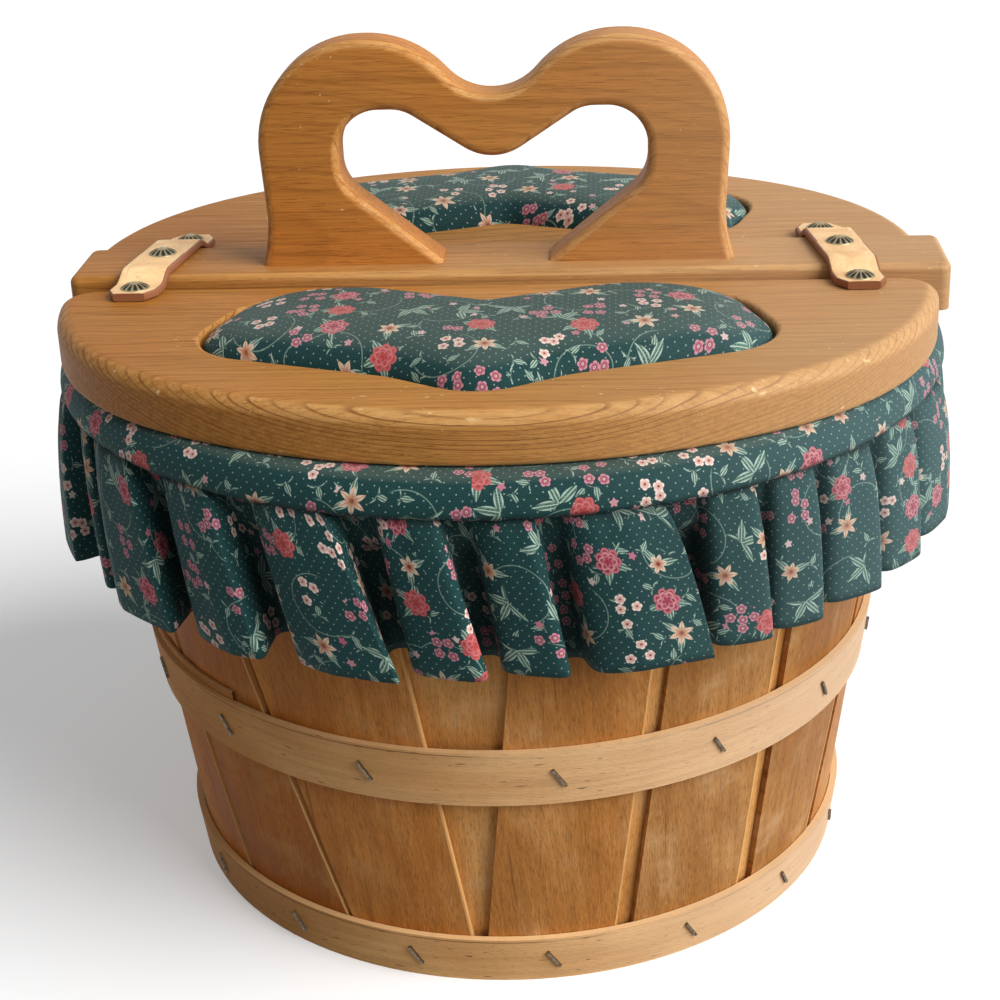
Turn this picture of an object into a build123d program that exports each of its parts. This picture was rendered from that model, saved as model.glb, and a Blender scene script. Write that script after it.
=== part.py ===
"""Lidded slat basket for sewing things: stave basket, cloth liner with a ruffle, and a wooden two-flap lid.

Millimetres, +Z up. The origin is the centre of the base on the floor, and the front faces -Y.
Each function makes one kind of piece, and the last section writes one STEP file per piece.
"""
from build123d import *
from math import atan2, cos, degrees, pi, radians, sin, tan
import os

# Clearances
play = 0.3          # between neighbouring layers and pieces
hole_play = 0.15    # round a screw or tack in its hole

# How a round piece made along Z lies: from 0 upward, or from 0 downward
upward = (Align.CENTER, Align.CENTER, Align.MIN)
downward = (Align.CENTER, Align.CENTER, Align.MAX)

# Staves: two layers on one cone, which widens upward
base_radius = 134.4
flare = 0.126
basket_height = 221.4
stave_start = 0.5
stave_thickness = 2.4
stave_count = 16

# Seams of the outer staves seen from the front, in degrees from -Y toward +X:
# angle at the floor, angle at the rim, gap at the floor, gap at the rim
front_seams = [
    (-22.9, -44.3, 0.8, 2.0),
    (-2.8, -4.1, 0.5, 19.8),
    (19.7, 26.2, 3.0, 2.2),
    (43.4, 46.5, 3.4, 2.4),
    (62.5, 75.0, 1.6, 2.4),
]
back_gap_low = 1.6
back_gap_high = 2.4
inner_gap = 1.2
stave_trim = 12.0   # extra arc on each stave's blank, in degrees, that its slanted edges cut away

# Hoops
hoop_thickness = 2.7
bottom_hoop_height = 20.0
middle_hoop_low = 84.8
middle_hoop_height = 23.6
rim_hoop_height = 24.4
rim_hoop_thickness = 5.3
rim_inner_thickness = 3.0
bottom_inner_thickness = 3.0
bottom_inner_height = 13.0

# Bottom board
bottom_board_thickness = 5.0

# Staples
staple_length = 9.0
staple_wire = 1.1
staple_bite = 1.8   # how deep a staple's legs go into the stave
staple_slant = -57.0

# Cloth liner
bag_thickness = 0.8
rim_cloth = 1.0
casing_height = 13.0
casing_top_depth = 3.6      # how far the casing stands out from the rim hoop, along its top edge
casing_bulge = 7.2          # the same where it bulges most
casing_bulge_drop = 6.6    # from the casing's top down to there
casing_foot_depth = 6.4     # the same along its lower edge
band_sheet = 0.9
elastic_rise = 2.5          # from the casing's lower edge up to the elastic
elastic_width = 8.0
elastic_thickness = 1.2

# Ruffle: a gathered skirt with its folds
ruffle_folds = 24
ruffle_drop = 65.0
ruffle_cloth = 1.7
ruffle_inset = 1.4          # from the casing's lower edge in to the middle of the ruffle's top
ruffle_fall_in = 1.1        # how far the hem's middle hangs inside the top's
ruffle_top_wave = 1.0
ruffle_hem_wave = 7.5

# Boards of the lid
board_thickness = 19.0
lid_lift = 0.3      # from the cloth on the rim to the underside of the flaps
bar_step = 4.0      # from the top of the flaps up to the top of the bar
bar_overhang = 0.1  # how far the bar's ends reach past the rim hoop
bar_extra = 7.0     # how much further it stands out at its right end, cut long there
bar_width = 40.0
bar_edge = 3.0
bar_corner = 4.0
flap_gap = 0.3
flap_overhang = 1.1 # how far a flap's sides reach past the rim hoop
flap_set_back = 6.6 # how far its front stays inside the rim hoop
flap_front_radius = 200.0
flap_corner = 14.0
flap_top_edge = 6.0
flap_bottom_edge = 2.0

# Heart opening in a flap: what is left of the flap round it, and the radii of its corners
heart_near_rail = 16.2      # between the hinge edge and the lobes
heart_cleft = 25.5          # how far the cleft between the lobes lies beyond them
heart_lobe_rail = 78.0      # between the flap's side and the far end of a lobe's top
heart_lobe_length = 29.0
heart_side_rail = 58.5      # between the flap's side and the heart's widest place
heart_side_drop = 65.3      # from the flap's front edge back to there
heart_flank_drop = 37.3     # the same to where the flank turns to the point
heart_flank_across = 31.0
heart_point_rail = 17.8     # between the flap's front edge and the sharp point, before it is rounded
heart_radii = (14.0, 36.0, 28.0, 26.0, 26.0, 24.0)
heart_edge = 2.0

# Cushions
cushion_crown = 11.0
cushion_side_drop = 4.5      # from the flap's top down to where the cushion leaves the opening's wall
# Levels of a cushion's crown: share of its height, share of its outline
cushion_levels = [
    (0.0, 1.0),
    (0.22, 0.985),
    (0.47, 0.94),
    (0.7, 0.85),
    (0.87, 0.71),
    (0.97, 0.5),
    (1.0, 0.3),
]
cushion_cloth = 1.0
cushion_board_thickness = 3.5
cushion_board_margin = 11.0

# Handle, half of its outline
handle_thickness = 19.0
handle_half_width = 93.0
handle_height = 87.5
handle_dip_depth = 21.5
handle_slope = 47.0
handle_dip_radius = 23.0
handle_waist_in = 4.0
handle_waist_height = 13.0
handle_waist_radius = 60.0
handle_lobe_fill = 0.97   # how much of a lobe's top its two round corners take up
handle_foot_out = 3.5
handle_edge = 3.5
handle_limb = 33.5      # width of a lobe beside the opening
handle_lobe_rail = 27.0 # height of a lobe above the opening
handle_dip_rail = 24.0  # height of the wood between the two dips
hole_slope = 33.0
hole_lobe_fill = 0.81   # the same for the opening's lobes
hole_side = 28.0        # height of the opening's straight sides, before they are rounded
hole_arm_radius = 16.0
hole_dip_radius = 20.0
toe_inner = 21.0
toe_height = 1.2
foot_run = 5.0          # how far the outline runs on below the feet before they are cut level

# Blocks under the ends of the bar
block_length = 34.0
block_side_play = 0.5       # how much narrower than the bar a block is, each side
block_rise = 1.0            # from the rim hoop's lower edge up to the block's

# Fasteners
screw_radius = 2.0
screw_head_radius = 4.0
screw_head_height = 2.2
handle_screw_margins = (25.0, 16.5)     # from a foot's toe and from its heel
handle_screw_bite = 12.0
bar_screw_spread = 11.0
bar_screw_bite = 23.0
block_screw_drops = (17.4, 6.4)         # below the rim
block_screw_length = 34.0
small_screw_radius = 1.4
small_screw_head = 3.2
small_screw_head_height = 1.5
small_screw_length = 13.0
small_screw_out = 5.2       # from the heart's edge out to a screw

# Leather straps and their tacks
strap_from_rim = 33.9       # from the rim hoop in to the strap's middle
strap_splay = 8.0
strap_width = 19.0
strap_thickness = 3.2
strap_bar_lap = 1.8         # how far the strap runs level past the bar's edge
strap_ramp = 4.0
strap_corner = 5.0
tack_margin = 1.0           # from the foot of the ramp to the tack's head
strap_end = 7.0             # from an end tack's middle to the strap's end
tack_radius = 5.7
tack_height = 3.4
tack_shank = 1.0
tack_shank_length = 12.0

# Depth of each layer, inward from the outer face of the outer staves
inner_stave_inset = stave_thickness + play
inner_hoop_inset = inner_stave_inset + stave_thickness + play
bag_inset = inner_hoop_inset + rim_inner_thickness + play
block_inset = bag_inset + bag_thickness + play
hoop_inset = -play
rim_hoop_face = -(play + rim_hoop_thickness)
band_inset = rim_hoop_face - play


def cone(z, inset=0.0):
    """Radius at height z of a cone that lies inset inside the outer face of the outer staves."""
    return base_radius - inset + flare * z


# Heights of the basket's layers and of the lid's boards
rim_hoop_low = basket_height - rim_hoop_height
rim_cloth_top = basket_height + play + rim_cloth
band_low = rim_cloth_top - casing_height
band_bulge_height = rim_cloth_top - casing_bulge_drop
elastic_low = band_low + elastic_rise
flap_bottom = rim_cloth_top + lid_lift
flap_top = flap_bottom + board_thickness
bar_top = flap_top + bar_step
bar_bottom = bar_top - board_thickness
board_bottom = stave_start + bottom_inner_height + play
board_top = board_bottom + bottom_board_thickness
block_low = rim_hoop_low + block_rise

# Radii of the cloth round the rim
band_bulge_radius = cone(band_bulge_height, band_inset) + casing_bulge
band_low_radius = cone(band_low, band_inset) + casing_foot_depth
ruffle_top_radius = band_low_radius - ruffle_inset
ruffle_hem_radius = ruffle_top_radius - ruffle_fall_in

# The lid's boards reach as far as the rim hoop that they cover
rim_radius = cone(basket_height, rim_hoop_face)
bar_length = 2 * (rim_radius + bar_overhang)
flap_start = bar_width / 2 + flap_gap
flap_end = rim_radius - flap_set_back
flap_rise = flap_end - flap_start
flap_half_span = rim_radius + flap_overhang
block_width = bar_width - 2 * block_side_play

# Half of the heart opening on the back flap: across, out from the middle of the bar, corner radius
heart_near = flap_start + heart_near_rail
heart_far = flap_end - heart_point_rail
heart_middle = (heart_near + heart_far) / 2
lobe_end = flap_half_span - heart_lobe_rail
heart_outline = [
    (0.0, heart_near + heart_cleft),
    (lobe_end - heart_lobe_length, heart_near + 1.0),
    (lobe_end, heart_near),
    (flap_half_span - heart_side_rail, flap_end - heart_side_drop),
    (heart_flank_across, flap_end - heart_flank_drop),
    (0.0, heart_far),
]
heart_corners = [(x, y, r) for (x, y), r in zip(heart_outline, heart_radii)]

# The straps step down beside the bar, and their tacks stand clear of the step
strap_across = rim_radius - strap_from_rim
strap_ramp_start = bar_width / 2 + strap_bar_lap
strap_ramp_end = strap_ramp_start + strap_ramp
tack_spacing = strap_ramp_end + tack_margin + tack_radius
strap_length = 2 * (tack_spacing + strap_end)

# The handle's waist, feet and opening
handle_dip = handle_height - handle_dip_depth
handle_waist = handle_half_width - handle_waist_in
handle_foot = handle_waist + handle_foot_out
hole_half_width = handle_half_width - handle_limb
hole_top = handle_height - handle_lobe_rail
hole_dip = handle_dip - handle_dip_rail
hole_arm = hole_top - hole_side

# Fasteners that follow from the pieces they hold
handle_screw_places = (toe_inner + handle_screw_margins[0], handle_foot - handle_screw_margins[1])
handle_screw_length = board_thickness + handle_screw_bite
bar_screw_length = board_thickness + bar_screw_bite
block_screw_heights = [basket_height - drop for drop in block_screw_drops]


def shell(z_low, z_high, outer_inset, thickness, span=360.0):
    """A conical layer of the given thickness, centred on +X where it spans less than a full turn."""
    inner_inset = outer_inset + thickness
    corners = [
        (cone(z_low, inner_inset), 0, z_low),
        (cone(z_low, outer_inset), 0, z_low),
        (cone(z_high, outer_inset), 0, z_high),
        (cone(z_high, inner_inset), 0, z_high),
    ]
    section = make_face(Polyline(*corners, close=True))
    return Rot(0, 0, -span / 2) * revolve(section, Axis.Z, span)


def on_cone(angle, z, inset=0.0):
    """The point of a cone at an angle from -Y toward +X."""
    radius = cone(z, inset)
    return Vector(radius * sin(radians(angle)), -radius * cos(radians(angle)), z)


def place_at(angle, shape):
    """Turns a shape that was made at +X to an angle from -Y toward +X."""
    return Rot(0, 0, angle - 90) * shape


def all_seams():
    """The seams right round: those seen from the front, then an even run round the back."""
    first, last = front_seams[0], front_seams[-1]
    steps = stave_count - len(front_seams) + 1
    low_step = (first[0] + 360 - last[0]) / steps
    high_step = (first[1] + 360 - last[1]) / steps
    back = [
        (last[0] + low_step * k, last[1] + high_step * k, back_gap_low, back_gap_high)
        for k in range(1, steps)
    ]
    return front_seams + back


def edge_plane(low_angle, high_angle):
    """The plane through a stave's edge, whose normal points toward growing angles."""
    low = on_cone(low_angle, 0)
    high = on_cone(high_angle, basket_height)
    middle = (low + high) / 2
    outward = Vector(middle.X, middle.Y, 0).normalized()
    normal = outward.cross(high - low)
    return Plane(origin=middle, x_dir=outward, z_dir=normal.normalized())


def stave(left, right, inset):
    """One thin board bent to the cone between two slanted edges, each given as (floor angle, rim angle)."""
    angles = (*left, *right)
    centre = sum(angles) / 4
    span = max(angles) - min(angles) + stave_trim
    blank = shell(stave_start, basket_height, inset, stave_thickness, span)
    blank = place_at(centre, blank)
    blank = split(blank, bisect_by=edge_plane(*left), keep=Keep.BOTTOM)
    return split(blank, bisect_by=edge_plane(*right), keep=Keep.TOP)


def outer_staves():
    """The outer staves, each between the seams at its two sides."""
    seams = all_seams()
    staves = []
    for k in range(stave_count):
        low_a, high_a, gap_low_a, gap_high_a = seams[k]
        low_b, high_b, gap_low_b, gap_high_b = seams[(k + 1) % stave_count]
        turn = 360 if k == stave_count - 1 else 0
        left = (low_a + gap_low_a / 2, high_a + gap_high_a / 2)
        right = (low_b + turn - gap_low_b / 2, high_b + turn - gap_high_b / 2)
        staves.append(stave(left, right, 0.0))
    return staves


def inner_staves():
    """The inner staves, each behind one seam and as wide as half the outer staves beside it."""
    seams = all_seams()
    middles = []
    for k in range(stave_count):
        low_a, high_a = seams[k][:2]
        low_b, high_b = seams[(k + 1) % stave_count][:2]
        turn = 360 if k == stave_count - 1 else 0
        middles.append(((low_a + low_b + turn) / 2, (high_a + high_b + turn) / 2))
    staves = []
    for k in range(stave_count):
        turn = 360 if k == 0 else 0
        before = middles[k - 1]
        after = middles[k]
        left = (before[0] - turn + inner_gap / 2, before[1] - turn + inner_gap / 2)
        right = (after[0] - inner_gap / 2, after[1] - inner_gap / 2)
        staves.append(stave(left, right, inner_stave_inset))
    return staves


def stave_middles(height):
    """The angle of each outer stave's middle at a height."""
    share = height / basket_height
    seams = all_seams()
    angles = [low + (high - low) * share for low, high, _, _ in seams]
    angles.append(angles[0] + 360)
    return [(angles[k] + angles[k + 1]) / 2 for k in range(stave_count)]


def countersunk(shank_radius, head_radius, head_height, length, extra=0.0):
    """A countersunk screw along -Z with its head's face at z = 0. With extra it is the hole for one."""
    outline = [
        (0, 0, extra),
        (head_radius + extra, 0, extra),
        (head_radius + extra, 0, -extra),
        (shank_radius + extra, 0, -head_height - extra),
        (shank_radius + extra, 0, -length - extra),
        (0, 0, -length - extra),
    ]
    if not extra:
        outline.pop(1)
    return revolve(make_face(Polyline(*outline, close=True)), Axis.Z)


def block_screw_positions():
    """Places of the screws that run inward through the rim into the two blocks."""
    places = []
    for side in (0, 180):
        for z in block_screw_heights:
            face = cone(z, rim_hoop_face) - play
            places.append(Rot(0, 0, side) * Pos(face, 0, z) * Rot(0, 90, 0))
    return places


def block_screws(extra=0.0):
    """The screws that hold the rim, both stave layers and the liner to the blocks."""
    screw = countersunk(screw_radius, screw_head_radius, screw_head_height, block_screw_length, extra)
    return [place * screw for place in block_screw_positions()]


def drilled(shape, holes):
    """Cuts each hole that lies within the shape's box, and gives back one solid."""
    box = shape.bounding_box()
    for hole in holes:
        other = hole.bounding_box()
        near = all(
            getattr(other.min, axis) < getattr(box.max, axis)
            and getattr(other.max, axis) > getattr(box.min, axis)
            for axis in "XYZ"
        )
        if near:
            shape = shape - hole
    return shape


def hoop_staples(z, inset, depth):
    """One slanted staple for each outer stave: its crown on the cone at inset, its legs depth inward."""
    half = staple_length / 2 - staple_wire / 2
    crown = Box(staple_wire, staple_length, staple_wire)
    leg = Pos(-depth / 2, 0, 0) * Box(depth, staple_wire, staple_wire)
    staple = crown + Pos(0, half, 0) * leg + Pos(0, -half, 0) * leg
    lean = degrees(atan2(flare, 1))
    face = cone(z, inset) + staple_wire / 2
    staple = Pos(face, 0, z) * Rot(0, lean, 0) * Rot(staple_slant, 0, 0) * staple
    return [place_at(angle, staple) for angle in stave_middles(z)]


def bottom_board():
    """The round bottom, seated on the inner bottom hoop."""
    inset = inner_hoop_inset
    outline = [
        (0, 0, board_bottom),
        (cone(board_bottom, inset), 0, board_bottom),
        (cone(board_top, inset), 0, board_top),
        (0, 0, board_top),
    ]
    return revolve(make_face(Polyline(*outline, close=True)), Axis.Z)


def liner_bag():
    """The cloth bag: flat on the bottom board, up the wall and out over the rim."""
    low = board_top + play
    wall_top = basket_height + play
    outer, inner = bag_inset, bag_inset + bag_thickness
    outline = [
        (0, 0, low),
        (cone(low, outer), 0, low),
        (cone(wall_top, outer), 0, wall_top),
        (cone(wall_top, rim_hoop_face), 0, wall_top),
        (cone(rim_cloth_top, rim_hoop_face), 0, rim_cloth_top),
        (cone(rim_cloth_top, inner), 0, rim_cloth_top),
        (cone(low + bag_thickness, inner), 0, low + bag_thickness),
        (0, 0, low + bag_thickness),
    ]
    return revolve(make_face(Polyline(*outline, close=True)), Axis.Z)


def band_face(shrink):
    """Half the section of the casing round the rim, drawn in by shrink on every side."""
    low, high = band_low + shrink, rim_cloth_top - shrink
    inner_low = (cone(low, band_inset) + shrink, 0, low)
    inner_high = (cone(high, band_inset) + shrink, 0, high)
    outer_high = (cone(high, band_inset) + casing_top_depth - shrink, 0, high)
    outer_low = (band_low_radius - shrink, 0, low)
    bulge = (band_bulge_radius - shrink, 0, band_bulge_height)
    curve = Line(inner_low, inner_high) + Line(inner_high, outer_high)
    curve += ThreePointArc(outer_high, bulge, outer_low) + Line(outer_low, inner_low)
    return make_face(curve)


def liner_band():
    """The stitched casing round the rim, hollow for its elastic."""
    return revolve(band_face(0) - band_face(band_sheet), Axis.Z)


def rim_elastic():
    """The elastic that runs in the casing and grips the rim."""
    inset = band_inset - band_sheet - play - elastic_thickness
    return shell(elastic_low, elastic_low + elastic_width, inset, elastic_thickness)


def fold_wire(z, radius, wave):
    """A closed wavy outline of tangent arcs, one out and one in for each fold."""
    step = pi / ruffle_folds

    def at(turn, r):
        return (r * cos(turn), r * sin(turn), z)

    arcs = []
    for k in range(2 * ruffle_folds):
        middle = k * step
        reach = radius + (wave if k % 2 == 0 else -wave)
        arcs.append(
            ThreePointArc(
                at(middle - step / 2, radius),
                at(middle, reach),
                at(middle + step / 2, radius),
            )
        )
    return make_face(Curve() + arcs)


def ruffle():
    """The gathered skirt below the casing: a wavy ring whose folds open toward the hem."""
    top = band_low - play
    hem = top - ruffle_drop
    outer = loft(
        [
            fold_wire(hem, ruffle_hem_radius, ruffle_hem_wave),
            fold_wire(top, ruffle_top_radius, ruffle_top_wave),
        ],
        ruled=True,
    )
    inner = loft(
        [
            fold_wire(hem, ruffle_hem_radius - ruffle_cloth, ruffle_hem_wave),
            fold_wire(top, ruffle_top_radius - ruffle_cloth, ruffle_top_wave),
        ],
        ruled=True,
    )
    return outer - inner


def bar_screws(extra=0.0):
    """The screws from the bar's top down into the blocks, under the straps."""
    screw = countersunk(screw_radius, screw_head_radius, screw_head_height, bar_screw_length, extra)
    return [
        Pos(x, y, bar_top - play) * screw
        for x in (-strap_across, strap_across)
        for y in (-bar_screw_spread, bar_screw_spread)
    ]


def handle_screws(extra=0.0):
    """The screws from below the bar up into the feet of the handle."""
    screw = countersunk(screw_radius, screw_head_radius, screw_head_height, handle_screw_length, extra)
    return [
        Pos(side * x, 0, bar_bottom + play) * Rot(180, 0, 0) * screw
        for side in (-1, 1)
        for x in handle_screw_places
    ]


def tack_places(out):
    """Where the two straps' tacks stand, at a distance along each strap from its middle."""
    places = []
    for side in (-1, 1):
        turn = radians(side * strap_splay)
        x = side * strap_across - out * sin(turn)
        places.append((x, out * cos(turn)))
    return places


def tacks(out, seat):
    """Two domed tacks, one on each strap, with their heads on the leather at height seat."""
    ball = (tack_radius**2 + tack_height**2) / (2 * tack_height)
    dome = Pos(0, 0, tack_height - ball) * Sphere(ball)
    dome = dome & Pos(0, 0, tack_height) * Box(4 * tack_radius, 4 * tack_radius, 2 * tack_height)
    shank = Cylinder(tack_shank, tack_shank_length, align=downward)
    tack = dome + shank
    return [Pos(x, y, seat) * tack for x, y in tack_places(out)]


def tack_holes(out):
    """The pilot holes of two tacks, from below the strap to above it."""
    hole = Cylinder(tack_shank + hole_play, tack_shank_length + 2 * play, align=downward)
    level = strap_seat(out) + strap_thickness
    return [Pos(x, y, level + 2 * play) * hole for x, y in tack_places(out)]


def strap_seat(out):
    """Height of a strap's underside, over the bar or over a flap."""
    return (bar_top if abs(out) < strap_ramp_start else flap_top) + play


def strap(side):
    """One leather strap: flat on both flaps and stepped up over the bar, with rounded ends."""
    low, high = strap_seat(strap_length), strap_seat(0)
    end = strap_length / 2
    under = [(-end, low), (-strap_ramp_end, low), (-strap_ramp_start, high)]
    under += [(-y, z) for y, z in reversed(under)]
    over = [(y, z + strap_thickness) for y, z in reversed(under)]
    section = make_face(Polyline(*[(0, y, z) for y, z in under + over], close=True))
    body = extrude(section, strap_width / 2, dir=(1, 0, 0), both=True)
    corners = [e for e in body.edges().filter_by(Axis.Z) if abs(abs(e.center().Y) - end) < 0.01]
    body = fillet(corners, strap_corner)
    return Pos(side * strap_across, 0, 0) * Rot(0, 0, side * strap_splay) * body


def bar():
    """The fixed bar across the rim, with eased edges."""
    middle = (bar_top + bar_bottom) / 2
    body = Pos(bar_extra / 2, 0, middle) * Box(bar_length + bar_extra, bar_width, board_thickness)
    body = fillet(body.edges().filter_by(Axis.Z), bar_corner)
    top = [e for e in body.edges() if abs(e.center().Z - bar_top) < 0.01]
    body = fillet(top, bar_edge)
    return body


def rounded(corners):
    """A closed face through corners given as (x, y, radius)."""
    points = [(x, y) for x, y, _ in corners]
    return make_face(FilletPolyline(*points, radius=[r for _, _, r in corners], close=True))


def mirrored(half):
    """A closed outline from its half at +x: the corners on the middle line are kept once."""
    other = [(-x, y, r) for x, y, r in reversed(half) if x > 0]
    return half + other


def lobe(half_width, top, dip, dip_radius, slope, side_turn, fill):
    """Corners of half a heart's top: the dip, and a lobe whose two round corners share its flat top."""
    turn = radians(slope)
    dip_corner = dip - dip_radius * (1 / cos(turn) - 1)
    start = (top - dip_corner) / tan(turn)
    radius = fill * (half_width - start) / (tan(turn / 2) + tan(side_turn / 2))
    return [(0, dip_corner, dip_radius), (start, top, radius), (half_width, top, radius)]


def handle():
    """The heart handle: lobes and dip above, a heart opening that runs out between its two feet."""
    side_turn = pi / 2 - atan2(-handle_waist_in, handle_height - handle_waist_height)
    foot_low = handle_foot + foot_run * handle_foot_out / handle_waist_height
    toe_slope = (hole_half_width - toe_inner) / (hole_arm - toe_height)
    toe_low = toe_inner - (toe_height + foot_run) * toe_slope
    outer = lobe(
        handle_half_width, handle_height, handle_dip, handle_dip_radius,
        handle_slope, side_turn, handle_lobe_fill,
    )
    outer += [(handle_waist, handle_waist_height, handle_waist_radius), (foot_low, -foot_run, 0)]
    hole = lobe(hole_half_width, hole_top, hole_dip, hole_dip_radius, hole_slope, pi / 2, hole_lobe_fill)
    hole += [(hole_half_width, hole_arm, hole_arm_radius), (toe_low, -foot_run, 0)]
    face = rounded(mirrored(outer)) - rounded(mirrored(hole))
    body = extrude(Plane.XZ * face, handle_thickness / 2, both=True)
    front_back = [
        e
        for e in body.edges()
        if abs(abs(e.center().Y) - handle_thickness / 2) < 0.01 and e.center().Z > -foot_run + 0.01
    ]
    body = fillet(front_back, handle_edge)
    body = split(body, bisect_by=Plane.XY, keep=Keep.TOP)
    body = body - Box(2 * toe_inner, 2 * handle_thickness, 2 * toe_height)
    return Pos(0, 0, bar_top) * body


def edges_on(body, face, level):
    """The edges of body that follow the outline of a flat face at a height."""
    outline = [edge.center() for edge in (Pos(0, 0, level) * face).edges()]
    return [e for e in body.edges() if any((e.center() - c).length < 0.01 for c in outline)]


def flap_face():
    """The flap's outline on the back half: a three-centred arch from a straight hinge edge."""
    rise, span = flap_rise, flap_half_span
    side_radius = (2 * rise * flap_front_radius - span**2 - rise**2) / (2 * (flap_front_radius - span))
    side_centre = Vector(span - side_radius, flap_start)
    front_centre = Vector(0, flap_start + rise - flap_front_radius)
    toward = (side_centre - front_centre).normalized()
    join = front_centre + toward * flap_front_radius
    turn = atan2(join.Y - side_centre.Y, join.X - side_centre.X) / 2
    middle = side_centre + Vector(cos(turn), sin(turn)) * side_radius
    start = Vector(span, flap_start)

    def across(point):
        return Vector(-point.X, point.Y)

    outline = [
        ThreePointArc(start, middle, join),
        ThreePointArc(join, Vector(0, flap_start + rise), across(join)),
        ThreePointArc(across(join), across(middle), across(start)),
        Line(across(start), start),
    ]
    face = make_face(Curve() + outline)
    corners = [v for v in face.vertices() if abs(v.Y - flap_start) < 0.01]
    return fillet(corners, flap_corner)


def heart_face(grow=0.0):
    """The heart of the opening on the back half, grown or drawn in evenly."""
    face = rounded(mirrored(heart_corners))
    return offset(face, grow) if grow else face


def scaled_heart(share, grow, z):
    """The heart drawn in toward its middle for one level of the cushion."""
    points = [
        (x * share, heart_middle + (y - heart_middle) * share, r * share)
        for x, y, r in mirrored(heart_corners)
    ]
    face = rounded(points)
    if grow:
        face = offset(face, grow)
    return Pos(0, 0, z) * face


def cushion_form(inset):
    """A crowned heart: straight in the opening, then drawn in level by level up to the crown."""
    side_top = flap_top - cushion_side_drop
    crown = flap_top + cushion_crown - inset
    base = extrude(scaled_heart(1.0, -inset, flap_bottom), side_top - flap_bottom)
    levels = [
        scaled_heart(share, -inset, side_top + (crown - side_top) * height)
        for height, share in cushion_levels
    ]
    return base + loft(levels, ruled=True)


def cushion_cover():
    """The cushion's cloth, drawn over the pad and open below."""
    return cushion_form(play) - cushion_form(play + cushion_cloth)


def cushion_pad():
    """The foam pad under the cloth."""
    return cushion_form(play + cushion_cloth + hole_play)


def beside_heart(first):
    """The place of a small screw: out from the middle of one straight side of the heart's half."""
    start, end = (Vector(*corner[:2]) for corner in heart_corners[first:first + 2])
    along = (end - start).normalized()
    return (start + end) / 2 + Vector(along.Y, -along.X) * small_screw_out


def small_screws(extra=0.0):
    """The pan-head screws that hold a cushion's board to its flap."""
    head = Cylinder(small_screw_head + extra, small_screw_head_height, align=downward)
    shank = Cylinder(small_screw_radius + extra, small_screw_length + extra, align=upward)
    level = flap_bottom - cushion_board_thickness
    return [
        Pos(side * place.X, place.Y, level) * (head + shank)
        for side in (-1, 1)
        for place in (beside_heart(1), beside_heart(3))
    ]


def cushion_board():
    """The plywood heart that carries the cushion and is screwed under the flap."""
    face = Pos(0, 0, flap_bottom) * heart_face(cushion_board_margin)
    return drilled(extrude(face, -cushion_board_thickness), small_screws(hole_play))


def flap():
    """One flap of the lid on the back half, with its heart opening, eased edges and screw holes."""
    outline, heart = flap_face(), heart_face()
    body = extrude(Pos(0, 0, flap_bottom) * outline, board_thickness)
    for level, radius in ((flap_top, flap_top_edge), (flap_bottom, flap_bottom_edge)):
        eased = [e for e in edges_on(body, outline, level) if e.center().Y > flap_start + 0.01]
        body = fillet(eased, radius)
    body = body - extrude(Pos(0, 0, flap_bottom) * heart, board_thickness)
    body = fillet(edges_on(body, heart, flap_top), heart_edge)
    return drilled(body, small_screws(hole_play))


def block(side):
    """A wood block inside the rim that carries one end of the bar, cut to the cone of the liner."""
    inner = cone(block_low, block_inset) - block_length
    height = bar_bottom - block_low
    blank = Pos(inner, -block_width / 2, block_low) * Box(
        2 * block_length, block_width, height, align=(Align.MIN, Align.MIN, Align.MIN)
    )
    limit = [
        (0, 0, block_low),
        (cone(block_low, block_inset), 0, block_low),
        (cone(bar_bottom, block_inset), 0, bar_bottom),
        (0, 0, bar_bottom),
    ]
    body = blank & revolve(make_face(Polyline(*limit, close=True)), Axis.Z)
    if side < 0:
        body = Rot(0, 0, 180) * body
    return drilled(body, block_screws(hole_play) + bar_screws(hole_play))


def to_front(shape):
    """Turns a piece made on the back half to the front."""
    return Rot(0, 0, 180) * shape


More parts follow.
